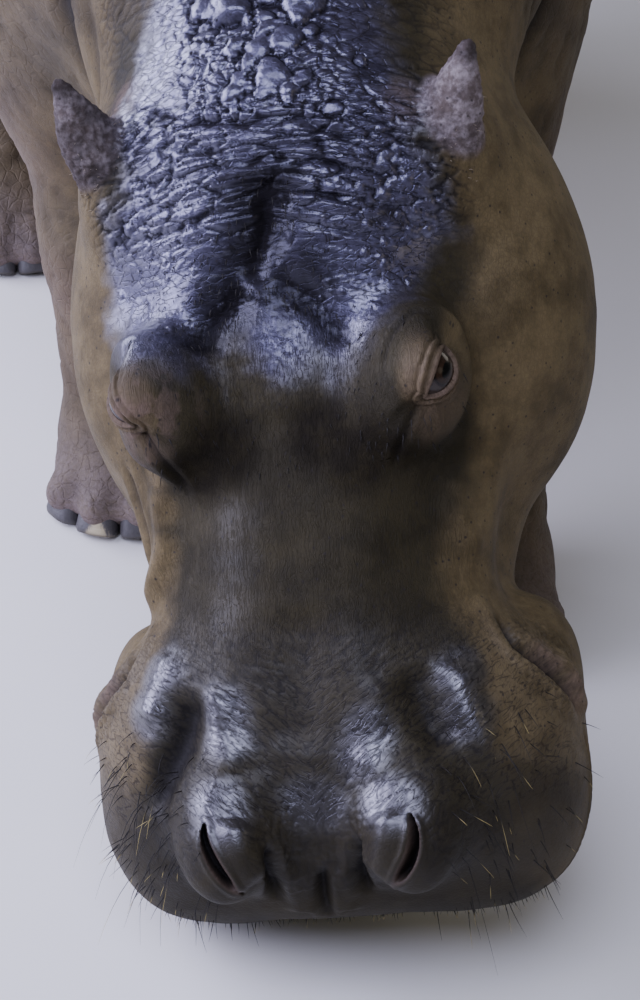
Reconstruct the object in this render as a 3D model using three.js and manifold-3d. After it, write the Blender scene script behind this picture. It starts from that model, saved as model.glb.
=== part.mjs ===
// A hippopotamus, life size, standing on four feet with its head lowered to the ground.
// Millimetres, +Z up. The animal faces -Y and its left side is towards +X. The origin is on the
// floor, under the middle of the animal's bounding box.
//
// The body is one smooth surface: the place where a field, a blend of eggs and bars, is zero.
// Each part of the body is that surface inside the part's own region, as a closed faceted solid.

import * as THREE from "three";
import { mergeVertices } from "three/addons/utils/BufferGeometryUtils.js";
import Module from "manifold-3d";

const wasm = await Module();
wasm.setup();

// ---------- driving dimensions ----------

const GAP = 0.3; // clearance between neighbouring solids
const SOLE_LEVEL = 0;

// The head has its own frame: x to the animal's left, y back from the front of the muzzle
// towards the neck, z up from the bridge of the snout.
const HEAD_PLACE = [4, -1182, 152];
const HEAD_TURN = 7;
const HEAD_PITCH = 52;
const HEAD_ROLL = 16;

// The trunk's frame stands on the floor under the shoulders, with y towards the tail.
const SHOULDERS_PLACE = [-60, -120, 0];
const TRUNK_TURN = 14;

// How smoothly the groups of the body run into each other.
const NECK_BLEND = 70;
const LEG_BLEND = 120;
const TAIL_BLEND = 60;

const EYE = { radius: 23, place: [130, 475, 19], sides: 10, rings: 8 };

// The facets' size in each part, and the box that each part's surface is looked for in.
const CELL = { head: 42, jaw: 47, neck: 70, trunk: 110, tail: 38, leg: 72, foot: 45, ear: 14.4 };
const SEARCH = {
  head: { low: [-352, -1290, -38], high: [330, -380, 960] },
  neck: { low: [-420, -1000, 200], high: [400, -200, 1200] },
  trunk: { low: [-1020, -920, 230], high: [620, 1700, 1500] },
  tail: { low: [-640, 1150, 520], high: [-260, 1620, 1200] },
};
const LEG_MARGIN = 65; // how far a leg's surface is followed outside its region
const FOOT_MARGIN = 100; // and a foot's surface above the ankle

const COLOUR = {
  back: "#4a4247",
  snout: "#4b3f3d",
  leg: "#75605a",
  ear: "#8a7480",
  nail: "#3f3c42",
  eye: "#2a1c14",
};
const SKIN_ROUGHNESS = 0.55;
const HORN_ROUGHNESS = 0.4;
const EYE_ROUGHNESS = 0.08;

// ---------- the shapes of the body ----------
// An egg is an ellipsoid, or a squarer block where "square" is over 2. A bar is a rod with round
// ends and a radius for each. "pair" repeats a shape on the right side. "blend" is how far a
// shape runs smoothly into those before it in its list.

const HEAD_SHAPES = [
  { name: "muzzle", at: [0, 150, -135], radii: [200, 148, 130], square: 2.9, blend: 40 },
  { name: "whisker_pad", at: [130, 136, -162], radii: [98, 132, 112], square: 2.4, pair: true, blend: 40 },
  { name: "chin", at: [0, 165, -222], radii: [165, 135, 66], square: 2.6, blend: 40 },
  { name: "bridge", at: [0, 340, -100], radii: [106, 240, 100], square: 2.6, blend: 50 },
  { name: "cheekbone", from: [86, 260, -115], to: [135, 500, -130], radii: [58, 62], pair: true, blend: 50 },
  { name: "brow", at: [118, 478, -9], radii: [47, 64, 47], tilt: [0, -10, 0], pair: true, blend: 60 },
  { name: "skull", at: [0, 630, -130], radii: [169, 200, 132], square: 2.2, blend: 50 },
  { name: "jowl_left", at: [178, 572, -235], radii: [90, 172, 160], blend: 60 },
  { name: "jowl_right", at: [-158, 572, -235], radii: [90, 172, 160], blend: 60 },
  { name: "jaw", from: [92, 230, -215], to: [128, 500, -250], radii: [56, 85], pair: true, blend: 60 },
  { name: "jaw_floor", from: [0, 220, -205], to: [0, 550, -240], radii: [70, 100], blend: 60 },
  { name: "lip_corner", at: [186, 222, -196], radii: [38, 58, 54], pair: true, blend: 30 },
  { name: "nostril_bulge", at: [83, 92, -10], radii: [44, 62, 36], tilt: [-15, 0, 0], pair: true, blend: 35 },
  { name: "ear_root", at: [152, 676, -66], radii: [34, 46, 40], pair: true, blend: 45 },
];

const TRUNK_SHAPES = [
  { name: "chest", at: [0, 10, 890], radii: [318, 430, 410], blend: 100 },
  { name: "barrel", at: [0, 520, 878], radii: [505, 780, 492], blend: 240 },
  { name: "rump", at: [0, 1060, 890], radii: [395, 450, 425], blend: 190 },
  { name: "shoulder", at: [192, -10, 860], radii: [136, 250, 350], tilt: [10, 0, 0], pair: true, blend: 120 },
  { name: "thigh", at: [236, 1060, 730], radii: [178, 290, 350], tilt: [-10, 0, 0], pair: true, blend: 130 },
];

const TAIL_SHAPES = [
  { name: "tail_root", from: [0, 1465, 1020], to: [0, 1566, 850], radii: [58, 37], blend: 30 },
  { name: "tail_tip", from: [0, 1566, 850], to: [0, 1592, 655], radii: [37, 17], blend: 30 },
];

const NECK_SHAPES = [
  { name: "withers", from: [-50, -120, 900], to: [-25, -360, 775], radii: [292, 236], blend: 80 },
  { name: "nape", from: [-25, -360, 775], to: [-12, -600, 615], radii: [236, 196], blend: 80 },
  { name: "throat", from: [-40, -120, 730], to: [-15, -500, 540], radii: [240, 138], blend: 100 },
];

const FORELEG_RADII = { elbow: 145, wrist: 98, ankle: 93 };
const HINDLEG_RADII = { elbow: 170, wrist: 95, ankle: 88 };
const LEGS = [
  {
    name: "fore_right", radii: FORELEG_RADII, heading: -6,
    elbow: [-255, -80, 600], wrist: [-234, -175, 340], ankle: [-230, -200, 120], foot: [-236, -240],
    region: { low: [-470, -480, -10], high: [-60, 10, 400] },
  },
  {
    name: "fore_left", radii: FORELEG_RADII, heading: 8,
    elbow: [140, -170, 600], wrist: [154, -318, 340], ankle: [168, -452, 120], foot: [174, -500],
    region: { low: [20, -680, -10], high: [400, -60, 400] },
  },
  {
    name: "hind_right", radii: HINDLEG_RADII, heading: 4,
    elbow: [-520, 660, 580], wrist: [-508, 690, 330], ankle: [-470, 515, 120], foot: [-464, 468],
    region: { low: [-760, 250, -10], high: [-372, 860, 415] },
  },
  {
    name: "hind_left", radii: HINDLEG_RADII, heading: 20,
    elbow: [-120, 1040, 580], wrist: [-125, 1165, 330], ankle: [-125, 1085, 120], foot: [-120, 1045],
    region: { low: [-262, 820, -10], high: [100, 1400, 415] },
  },
];
const ANKLE_LEVEL = 118;
const KNEE_BLEND = 50;

// The foot's frame: x to its left, y back from the middle of the foot, z up from the floor.
const FOOT_PAD = { at: [0, 12, 50], radii: [98, 112, 64], square: 2.2 };
const TOE_SPREAD = 32;
const TOE = { count: 4, reach: [74, 80], height: 36, radii: [33, 46, 35], blend: 16 };
const NAIL = { beyond: 27, foot: 4, height: 50, width: 54, thickness: 40, taper: 0.66, lean: 20, sides: 10 };

// The ear's frame: z along the ear from its root, x out of its hollow side.
const EARS = [
  { side: "left", root: [154, 684, -46], along: [38, 72, 58], opening: [70, 43, -54] },
  { side: "right", root: [-158, 692, -42], along: [-22, 76, 61], opening: [-70, 43, -54] },
];
const EAR_SHAPES = [
  { name: "leaf", at: [0, 0, 30], radii: [22, 29, 50], blend: 10 },
  { name: "tip", at: [-3, 3, 66], radii: [12, 15, 40], blend: 20 },
];
const EAR_HOLLOW = { at: [22, 0, 44], radii: [20, 19, 44], blend: 8 };
const EAR_REACH = 130;

const NOSTRIL = { front: [64, 40, 0], rear: [90, 102, 24], half_width: 8, depth: 26, sides: 10, rings: 6 };

// ---------- fields ----------

const vector = ([x, y, z]) => new THREE.Vector3(x, y, z);
const rad = THREE.MathUtils.degToRad;

function frame(place, turn = 0, pitch = 0, roll = 0) {
  const turned = new THREE.Euler(rad(pitch), rad(roll), rad(turn), "ZXY");
  return new THREE.Matrix4().makeRotationFromEuler(turned).setPosition(vector(place));
}

function smoothMin(a, b, blend) {
  const share = THREE.MathUtils.clamp(0.5 + (0.5 * (b - a)) / blend, 0, 1);
  return b + (a - b) * share - blend * share * (1 - share);
}

const smoothMax = (a, b, blend) => -smoothMin(-a, -b, blend);

function egg({ at, radii, tilt = [0, 0, 0], square = 2 }) {
  const [pitch, turn, roll] = tilt;
  const inward = frame(at, turn, pitch, roll).invert();
  return (point) => {
    const q = point.clone().applyMatrix4(inward).toArray();
    const scaled = q.map((value, axis) => Math.abs(value / radii[axis]));
    const size = Math.hypot(1e-9, scaled.reduce((sum, s) => sum + s ** square, 0) ** (1 / square));
    const slope = Math.hypot(...scaled.map((s, axis) => (s / size) ** (square - 1) / radii[axis]));
    return (size - 1) / slope;
  };
}

function bar({ from, to, radii }) {
  const start = vector(from);
  const along = vector(to).sub(start);
  return (point) => {
    const rest = point.clone().sub(start);
    const t = THREE.MathUtils.clamp(rest.dot(along) / along.lengthSq(), 0, 1);
    const eased = t * t * (3 - 2 * t);
    return rest.addScaledVector(along, -t).length() - THREE.MathUtils.lerp(radii[0], radii[1], eased);
  };
}

function blended(shapes) {
  const members = shapes.map((shape) => ({ ...shape, field: (shape.from ? bar : egg)(shape) }));
  return (point) => {
    let value = Infinity;
    for (const { field, pair, blend } of members) {
      for (const side of pair ? [1, -1] : [1]) {
        const distance = field(new THREE.Vector3(side * point.x, point.y, point.z));
        value = value === Infinity ? distance : smoothMin(value, distance, blend);
      }
    }
    return value;
  };
}

function within(matrix, field) {
  const inward = matrix.clone().invert();
  return (point) => field(point.clone().applyMatrix4(inward));
}

const headFrame = frame(HEAD_PLACE, HEAD_TURN, HEAD_PITCH, -HEAD_ROLL);
const trunkFrame = frame(SHOULDERS_PLACE, TRUNK_TURN);

function earFrame({ root, along, opening }) {
  const up = vector(along).normalize();
  const across = new THREE.Vector3().crossVectors(up, vector(opening)).normalize();
  const outward = new THREE.Vector3().crossVectors(across, up);
  const matrix = new THREE.Matrix4().makeBasis(outward, across, up).setPosition(vector(root));
  return headFrame.clone().multiply(matrix);
}

function earField() {
  const leaf = blended(EAR_SHAPES);
  const hollow = egg(EAR_HOLLOW);
  return (point) => smoothMax(leaf(point), -hollow(point), EAR_HOLLOW.blend);
}

function footFrame({ foot, heading }) {
  return frame([foot[0], foot[1], SOLE_LEVEL], heading);
}

function toeFrames() {
  return Array.from({ length: TOE.count }, (_, i) => {
    const angle = (i - (TOE.count - 1) / 2) * TOE_SPREAD;
    const place = [Math.sin(rad(angle)) * TOE.reach[0], -Math.cos(rad(angle)) * TOE.reach[1], TOE.height];
    return frame(place, angle);
  });
}

function footField() {
  const pad = egg(FOOT_PAD);
  const toes = toeFrames().map((matrix) => within(matrix, egg({ at: [0, 0, 0], radii: TOE.radii })));
  return (point) => toes.reduce((value, toe) => smoothMin(value, toe(point), TOE.blend), pad(point));
}

function legField(leg) {
  const { elbow, wrist, ankle } = leg.radii;
  const upper = bar({ from: leg.elbow, to: leg.wrist, radii: [elbow, wrist] });
  const lower = bar({ from: leg.wrist, to: leg.ankle, radii: [wrist, ankle] });
  const foot = within(footFrame(leg), footField());
  return (point) => {
    const column = smoothMin(upper(point), lower(point), KNEE_BLEND);
    return smoothMin(column, foot(point), KNEE_BLEND);
  };
}

const trunkField = within(trunkFrame, blended(TRUNK_SHAPES));
const neckField = blended(NECK_SHAPES);
const tailField = within(trunkFrame, blended(TAIL_SHAPES));
const skullField = within(headFrame, blended(HEAD_SHAPES));
const legFields = LEGS.map(legField);

const torsoField = (point) => {
  const body = smoothMin(trunkField(point), neckField(point), NECK_BLEND);
  return smoothMin(body, tailField(point), TAIL_BLEND);
};

const headField = (point) => smoothMin(torsoField(point), skullField(point), NECK_BLEND);

function bodyField(point) {
  return legFields.reduce((value, leg) => smoothMin(value, leg(point), LEG_BLEND), torsoField(point));
}

// ---------- faceted solids ----------

const EDGES_FROM_CORNER = [[1, 0, 0], [0, 1, 0], [0, 0, 1]];
const CORNERS = [0, 1].flatMap((i) => [0, 1].flatMap((j) => [0, 1].map((k) => [i, j, k])));

function manifoldOf(vertices, triangles) {
  const mesh = new wasm.Mesh({
    numProp: 3,
    vertProperties: new Float32Array(vertices),
    triVerts: new Uint32Array(triangles),
  });
  return new wasm.Manifold(mesh);
}

function solidOf(geometry) {
  const bare = geometry.clone();
  bare.deleteAttribute("normal");
  bare.deleteAttribute("uv");
  const merged = mergeVertices(bare, 1e-3);
  return manifoldOf(merged.attributes.position.array, merged.index.array);
}

// Moves a point onto the surface along the field's slope.
function settle(point, field, cell) {
  const step = cell * 0.02;
  for (let round = 0; round < 3; round += 1) {
    const slope = new THREE.Vector3().fromArray(EDGES_FROM_CORNER.map((axis) => {
      const shift = vector(axis).multiplyScalar(step);
      return (field(point.clone().add(shift)) - field(point.clone().sub(shift))) / (2 * step);
    }));
    const move = slope.multiplyScalar(-field(point) / Math.max(slope.lengthSq(), 1e-6));
    point.add(move.clampLength(0, cell * 0.3));
  }
  return point;
}

// The surface of a field inside a box, one corner of the mesh for each grid cell it crosses.
function surface(field, low, high, cell) {
  const size = low.map((value, axis) => Math.ceil((high[axis] - value) / cell) + 1);
  const index = (i, j, k) => (i * size[1] + j) * size[2] + k;
  const place = (i, j, k) => new THREE.Vector3(low[0] + i * cell, low[1] + j * cell, low[2] + k * cell);
  const values = new Float64Array(size[0] * size[1] * size[2]);
  const onRim = (at) => at.some((value, axis) => value === 0 || value === size[axis] - 1);
  for (let i = 0; i < size[0]; i += 1) {
    for (let j = 0; j < size[1]; j += 1) {
      for (let k = 0; k < size[2]; k += 1) {
        values[index(i, j, k)] = onRim([i, j, k]) ? cell : field(place(i, j, k));
      }
    }
  }
  const vertexOf = new Map();
  const vertices = [];
  for (let i = 0; i < size[0] - 1; i += 1) {
    for (let j = 0; j < size[1] - 1; j += 1) {
      for (let k = 0; k < size[2] - 1; k += 1) {
        const sum = new THREE.Vector3();
        let crossings = 0;
        for (const corner of CORNERS) {
          for (const edge of EDGES_FROM_CORNER) {
            if (edge.some((step, axis) => step && corner[axis])) continue;
            const a = [i + corner[0], j + corner[1], k + corner[2]];
            const b = a.map((value, axis) => value + edge[axis]);
            const va = values[index(...a)];
            const vb = values[index(...b)];
            if (va < 0 === vb < 0) continue;
            sum.add(place(...a).lerp(place(...b), va / (va - vb)));
            crossings += 1;
          }
        }
        if (!crossings) continue;
        const rim = onRim([i, j, k]) || onRim([i + 1, j + 1, k + 1]);
        const middle = sum.divideScalar(crossings);
        vertexOf.set(index(i, j, k), vertices.length / 3);
        vertices.push(...(rim ? middle : settle(middle, field, cell)).toArray());
      }
    }
  }
  const triangles = [];
  EDGES_FROM_CORNER.forEach((edge, axis) => {
    const first = EDGES_FROM_CORNER[(axis + 1) % 3];
    const second = EDGES_FROM_CORNER[(axis + 2) % 3];
    for (let i = 1 - edge[0]; i < size[0] - 1; i += 1) {
      for (let j = 1 - edge[1]; j < size[1] - 1; j += 1) {
        for (let k = 1 - edge[2]; k < size[2] - 1; k += 1) {
          const inside = values[index(i, j, k)] < 0;
          if (inside === values[index(i + edge[0], j + edge[1], k + edge[2])] < 0) continue;
          const ring = [[0, 0], [1, 0], [1, 1], [0, 1]].map(([a, b]) => vertexOf.get(
            index(i - a * first[0] - b * second[0], j - a * first[1] - b * second[1], k - a * first[2] - b * second[2]),
          ));
          if (!inside) ring.reverse();
          triangles.push(ring[0], ring[1], ring[2], ring[0], ring[2], ring[3]);
        }
      }
    }
  });
  return manifoldOf(vertices, triangles);
}

// ---------- regions ----------

const cut = (solid, ...regions) => regions.reduce((rest, region) => rest.intersect(region), solid);
const without = (solid, ...others) => others.reduce((rest, other) => rest.subtract(other), solid);

const REACH = 4000; // larger than the animal

function boxSolid(low, high, matrix = new THREE.Matrix4()) {
  const size = vector(high).sub(vector(low));
  const middle = vector(low).add(vector(high)).multiplyScalar(0.5);
  const geometry = new THREE.BoxGeometry(...size.toArray());
  geometry.translate(...middle.toArray()).applyMatrix4(matrix);
  return solidOf(geometry);
}

// All that lies behind a plane, on the side that its normal points away from.
function behind(point, normal) {
  const turned = new THREE.Quaternion().setFromUnitVectors(new THREE.Vector3(0, 0, 1), normal);
  const matrix = new THREE.Matrix4().compose(point, turned, new THREE.Vector3(1, 1, 1));
  return boxSolid([-REACH, -REACH, -2 * REACH], [REACH, REACH, -GAP / 2], matrix);
}

const planeSides = (point, normal) => [behind(point, normal), behind(point, normal.clone().negate())];

function grown({ low, high }, by) {
  return { low: low.map((value) => value - by), high: high.map((value) => value + by) };
}

const legBox = (leg, by = 0) => {
  const { low, high } = grown(leg.region, by);
  return boxSolid(low, high);
};

const onMidline = (matrix, [y, z]) => new THREE.Vector3(0, y, z).applyMatrix4(matrix);

function planeThrough(matrix, lower, upper) {
  const a = onMidline(matrix, lower);
  const b = onMidline(matrix, upper);
  const sideways = new THREE.Vector3(1, 0, 0).transformDirection(matrix);
  const normal = new THREE.Vector3().crossVectors(sideways, b.clone().sub(a)).normalize();
  return planeSides(a, normal.negate());
}

// The head ends behind the ears and jowls, the neck in front of the forelegs.
const HEAD_CUT = { lower: [690, -300], upper: [752, 20] };
const NECK_CUT = { lower: [-418, 500], upper: [-560, 1000] };
const TAIL_CUT = { lower: [1508, 600], upper: [1508, 1100] };
const [aheadOfHeadCut, behindHeadCut] = planeThrough(headFrame, HEAD_CUT.lower, HEAD_CUT.upper);
const [aheadOfNeckCut, behindNeckCut] = planeThrough(new THREE.Matrix4(), NECK_CUT.lower, NECK_CUT.upper);
const [aheadOfTailCut, behindTailCut] = planeThrough(trunkFrame, TAIL_CUT.lower, TAIL_CUT.upper);
const [aboveAnkles, belowAnkles] = planeSides(new THREE.Vector3(0, 0, ANKLE_LEVEL), new THREE.Vector3(0, 0, -1));
const aboveSoles = boxSolid([-REACH, -REACH, SOLE_LEVEL], [REACH, REACH, REACH]);

// The lower jaw in side view: under the mouth line, which climbs to the corner of the lips, and ahead of
// the angle of the jaw.
const MOUTH_LINE = [
  [-60, -192], [40, -190], [120, -150], [175, -103], [215, -77], [262, -60], [300, -120], [360, -250], [430, -420],
  [-60, -420],
];
const JAW_HALF_WIDTH = 320;

function jawRegion(by) {
  const outline = new THREE.Shape(MOUTH_LINE.map(([y, z]) => new THREE.Vector2(y, z)));
  const geometry = new THREE.ExtrudeGeometry(outline, { depth: 2 * JAW_HALF_WIDTH, bevelEnabled: false });
  geometry.translate(0, 0, -JAW_HALF_WIDTH);
  const sideways = new THREE.Matrix4().makeBasis(
    new THREE.Vector3(0, 1, 0), new THREE.Vector3(0, 0, 1), new THREE.Vector3(1, 0, 0),
  );
  geometry.applyMatrix4(sideways).translate(0, 0, by).applyMatrix4(headFrame);
  return solidOf(geometry);
}

// ---------- details cut into or set on the body ----------

function eyeSolid(side, by = 0) {
  const ball = new THREE.SphereGeometry(EYE.radius + by, EYE.sides, EYE.rings).rotateZ(Math.PI / 2);
  ball.translate(side * EYE.place[0], EYE.place[1], EYE.place[2]);
  return solidOf(ball.applyMatrix4(headFrame));
}

function nostrilPit(side) {
  const onSide = ([x, y, z]) => new THREE.Vector3(side * x, y, z);
  const along = onSide(NOSTRIL.rear).sub(onSide(NOSTRIL.front));
  const middle = onSide(NOSTRIL.front).addScaledVector(along, 0.5);
  const pit = new THREE.SphereGeometry(1, NOSTRIL.sides, NOSTRIL.rings);
  pit.scale(NOSTRIL.half_width, along.length() / 2, NOSTRIL.depth);
  const turned = new THREE.Quaternion().setFromUnitVectors(new THREE.Vector3(0, 1, 0), along.normalize());
  const matrix = new THREE.Matrix4().compose(middle, turned, new THREE.Vector3(1, 1, 1));
  return solidOf(pit.applyMatrix4(headFrame.clone().multiply(matrix)));
}

// A nail is a short leaning cone frustum at the front of its toe.
function nailSolid(leg, toeFrame, by = 0) {
  const nail = new THREE.CylinderGeometry(NAIL.taper, 1, NAIL.height + 2 * by, NAIL.sides);
  nail.rotateX(Math.PI / 2).translate(0, 0, NAIL.height / 2);
  nail.scale(NAIL.width / 2 + by, NAIL.thickness / 2 + by, 1);
  nail.rotateX(rad(-NAIL.lean)).translate(0, -NAIL.beyond, NAIL.foot - TOE.height);
  return cut(solidOf(nail.applyMatrix4(footFrame(leg).multiply(toeFrame))), aboveSoles);
}

// ---------- the parts ----------

const animal = new THREE.Group();

function add(name, solid, colour, roughness = SKIN_ROUGHNESS) {
  const { vertProperties, triVerts, numProp } = solid.getMesh();
  const geometry = new THREE.BufferGeometry();
  const positions = new THREE.InterleavedBuffer(vertProperties, numProp);
  geometry.setAttribute("position", new THREE.InterleavedBufferAttribute(positions, 3, 0));
  geometry.setIndex(new THREE.BufferAttribute(triVerts, 1));
  const mesh = new THREE.Mesh(geometry, new THREE.MeshStandardMaterial({
    color: colour, roughness, metalness: 0,
  }));
  mesh.name = name;
  animal.add(mesh);
}

// An ear stops short of the solids under it by the gap, measured along the ear.
function addEar(ear, under) {
  const matrix = earFrame(ear);
  const step = new THREE.Vector3(0, 0, 1).transformDirection(matrix).multiplyScalar(GAP).toArray();
  const root = new THREE.Vector3().setFromMatrixPosition(matrix).toArray();
  const { low, high } = grown({ low: root, high: root }, EAR_REACH);
  const whole = surface(within(matrix, earField()), low, high, CELL.ear);
  const cleared = under.flatMap((solid) => [solid, solid.translate(step)]);
  add(`ear_${ear.side}`, without(whole, ...cleared), COLOUR.ear);
}

function addHead() {
  const { low, high } = SEARCH.head;
  const skull = cut(surface(headField, low, high, CELL.head), aheadOfHeadCut);
  const hollows = [1, -1].flatMap((side) => [eyeSolid(side, GAP), nostrilPit(side)]);
  add("head", without(skull, jawRegion(GAP / 2), ...hollows), COLOUR.snout);
  const jaw = cut(surface(headField, low, high, CELL.jaw), aheadOfHeadCut, jawRegion(-GAP / 2));
  add("lower_jaw", jaw, COLOUR.snout);
  add("eye_left", eyeSolid(1), COLOUR.eye, EYE_ROUGHNESS);
  add("eye_right", eyeSolid(-1), COLOUR.eye, EYE_ROUGHNESS);
  const { low: neckLow, high: neckHigh } = SEARCH.neck;
  const neck = cut(surface(headField, neckLow, neckHigh, CELL.neck), behindHeadCut, aheadOfNeckCut);
  add("neck", neck, COLOUR.back);
  EARS.forEach((ear) => addEar(ear, [skull, neck]));
}

function addTrunk() {
  const trunk = surface(bodyField, SEARCH.trunk.low, SEARCH.trunk.high, CELL.trunk);
  const legs = LEGS.map((leg) => legBox(leg, GAP / 2));
  add("trunk", without(cut(trunk, behindNeckCut, aheadOfTailCut), ...legs), COLOUR.back);
  const tail = surface(torsoField, SEARCH.tail.low, SEARCH.tail.high, CELL.tail);
  add("tail", cut(tail, behindTailCut), COLOUR.leg);
}

function addLeg(leg) {
  const { low, high } = grown(leg.region, LEG_MARGIN);
  const inBox = legBox(leg, -GAP / 2);
  add(`leg_${leg.name}`, cut(surface(bodyField, low, high, CELL.leg), inBox, aboveAnkles), COLOUR.leg);
  const nails = toeFrames().map((toeFrame) => nailSolid(leg, toeFrame, GAP));
  const bottom = [low[0], low[1], SOLE_LEVEL - LEG_MARGIN];
  const top = [high[0], high[1], ANKLE_LEVEL + FOOT_MARGIN];
  const foot = cut(surface(bodyField, bottom, top, CELL.foot), inBox, belowAnkles, aboveSoles);
  add(`foot_${leg.name}`, without(foot, ...nails), COLOUR.leg);
  toeFrames().forEach((toeFrame, i) => {
    add(`nail_${leg.name}_${i + 1}`, nailSolid(leg, toeFrame), COLOUR.nail, HORN_ROUGHNESS);
  });
}

addHead();
addTrunk();
LEGS.forEach(addLeg);

const bounds = new THREE.Box3().setFromObject(animal, true);
const middle = bounds.getCenter(new THREE.Vector3());
animal.position.set(-middle.x, -middle.y, -bounds.min.z);

export default animal;
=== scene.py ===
import math
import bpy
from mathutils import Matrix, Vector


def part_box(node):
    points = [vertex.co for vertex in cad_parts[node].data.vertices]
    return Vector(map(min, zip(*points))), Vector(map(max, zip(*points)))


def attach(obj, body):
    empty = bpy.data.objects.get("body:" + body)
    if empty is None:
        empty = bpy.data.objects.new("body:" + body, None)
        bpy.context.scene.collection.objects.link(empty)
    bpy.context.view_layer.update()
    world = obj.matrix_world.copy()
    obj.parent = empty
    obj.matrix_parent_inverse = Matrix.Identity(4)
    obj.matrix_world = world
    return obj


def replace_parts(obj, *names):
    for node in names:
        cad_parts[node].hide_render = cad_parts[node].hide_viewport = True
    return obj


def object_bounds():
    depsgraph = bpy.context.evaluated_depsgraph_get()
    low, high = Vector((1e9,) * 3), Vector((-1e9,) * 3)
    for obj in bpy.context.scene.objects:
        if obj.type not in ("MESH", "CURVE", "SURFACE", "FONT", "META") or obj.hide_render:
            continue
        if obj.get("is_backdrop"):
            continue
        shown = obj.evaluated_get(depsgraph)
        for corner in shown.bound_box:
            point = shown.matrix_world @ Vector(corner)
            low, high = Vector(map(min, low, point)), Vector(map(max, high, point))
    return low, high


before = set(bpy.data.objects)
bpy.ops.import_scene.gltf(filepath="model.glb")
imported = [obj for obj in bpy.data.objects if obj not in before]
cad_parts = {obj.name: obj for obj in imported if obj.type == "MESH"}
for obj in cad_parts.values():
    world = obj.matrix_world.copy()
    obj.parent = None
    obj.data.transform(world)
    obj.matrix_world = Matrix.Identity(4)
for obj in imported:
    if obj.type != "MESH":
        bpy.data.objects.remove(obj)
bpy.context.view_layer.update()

from concurrent.futures import ThreadPoolExecutor

import bpy
import numpy as np
from mathutils import Matrix, Vector

# ---------- the shapes of the body, in metres ----------

HEAD_PLACE = (.004, -1.182, .152)
HEAD_TURN, HEAD_PITCH, HEAD_ROLL = 7.0, 52.0, 16.0
SHOULDERS_PLACE = (-.06, -.12, 0.0)
TRUNK_TURN = 14.0
NECK_BLEND, LEG_BLEND, TAIL_BLEND, EAR_BLEND, KNEE_BLEND = .07, .12, .06, .016, .05
SOLE_BLEND = .004
FAR = 1.0

HEAD_SHAPES = (
    dict(name="muzzle", at=(0, .15, -.135), radii=(.2, .148, .13), square=2.9, blend=.04),
    dict(name="whisker_pad", at=(.13, .136, -.162), radii=(.098, .132, .112), square=2.4, pair=True,
         blend=.04),
    dict(name="chin", at=(0, .165, -.222), radii=(.165, .135, .066), square=2.6, blend=.04),
    dict(name="bridge", at=(0, .34, -.1), radii=(.106, .24, .1), square=2.6, blend=.05),
    dict(name="cheekbone", start=(.086, .26, -.115), end=(.135, .5, -.13), radii=(.058, .062), pair=True,
         blend=.05),
    dict(name="brow", at=(.118, .478, -.009), radii=(.047, .064, .047), tilt=(0, -10, 0), pair=True,
         blend=.06),
    dict(name="skull", at=(0, .63, -.13), radii=(.169, .2, .132), square=2.2, blend=.05),
    dict(name="jowl_left", at=(.178, .572, -.235), radii=(.09, .172, .16), blend=.06),
    dict(name="jowl_right", at=(-.158, .572, -.235), radii=(.09, .172, .16), blend=.06),
    dict(name="jaw", start=(.092, .23, -.215), end=(.128, .5, -.25), radii=(.056, .085), pair=True,
         blend=.06),
    dict(name="jaw_floor", start=(0, .22, -.205), end=(0, .55, -.24), radii=(.07, .1), blend=.06),
    dict(name="lip_corner", at=(.186, .222, -.196), radii=(.038, .058, .054), pair=True, blend=.03),
    dict(name="nostril_bulge", at=(.083, .092, -.01), radii=(.044, .062, .036), tilt=(-15, 0, 0), pair=True,
         blend=.035),
    dict(name="ear_root", at=(.152, .676, -.066), radii=(.034, .046, .04), pair=True, blend=.045),
)
TRUNK_SHAPES = (
    dict(name="chest", at=(0, .01, .89), radii=(.318, .43, .41), blend=.1),
    dict(name="barrel", at=(0, .52, .878), radii=(.505, .78, .492), blend=.24),
    dict(name="rump", at=(0, 1.06, .89), radii=(.395, .45, .425), blend=.19),
    dict(name="shoulder", at=(.192, -.01, .86), radii=(.136, .25, .35), tilt=(10, 0, 0), pair=True,
         blend=.12),
    dict(name="thigh", at=(.236, 1.06, .73), radii=(.178, .29, .35), tilt=(-10, 0, 0), pair=True, blend=.13),
)
TAIL_SHAPES = (
    dict(name="tail_root", start=(0, 1.465, 1.02), end=(0, 1.566, .85), radii=(.058, .037), blend=.03),
    dict(name="tail_tip", start=(0, 1.566, .85), end=(0, 1.592, .655), radii=(.037, .017), blend=.03),
)
NECK_SHAPES = (
    dict(name="withers", start=(-.05, -.12, .9), end=(-.025, -.36, .775), radii=(.292, .236), blend=.08),
    dict(name="nape", start=(-.025, -.36, .775), end=(-.012, -.6, .615), radii=(.236, .196), blend=.08),
    dict(name="throat", start=(-.04, -.12, .73), end=(-.015, -.5, .54), radii=(.24, .138), blend=.1),
)
FORELEG_RADII = (.145, .098, .093)
HINDLEG_RADII = (.17, .095, .088)
LEGS = (
    dict(name="fore_right", radii=FORELEG_RADII, heading=-6, elbow=(-.255, -.08, .6),
         wrist=(-.234, -.175, .34), ankle=(-.23, -.2, .12), foot=(-.236, -.24)),
    dict(name="fore_left", radii=FORELEG_RADII, heading=8, elbow=(.14, -.17, .6), wrist=(.154, -.318, .34),
         ankle=(.168, -.452, .12), foot=(.174, -.5)),
    dict(name="hind_right", radii=HINDLEG_RADII, heading=4, elbow=(-.52, .66, .58), wrist=(-.508, .69, .33),
         ankle=(-.47, .515, .12), foot=(-.464, .468)),
    dict(name="hind_left", radii=HINDLEG_RADII, heading=20, elbow=(-.12, 1.04, .58),
         wrist=(-.125, 1.165, .33), ankle=(-.125, 1.085, .12), foot=(-.12, 1.045)),
)
FOOT_PAD = dict(at=(0, .012, .05), radii=(.098, .112, .064), square=2.2)
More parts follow.
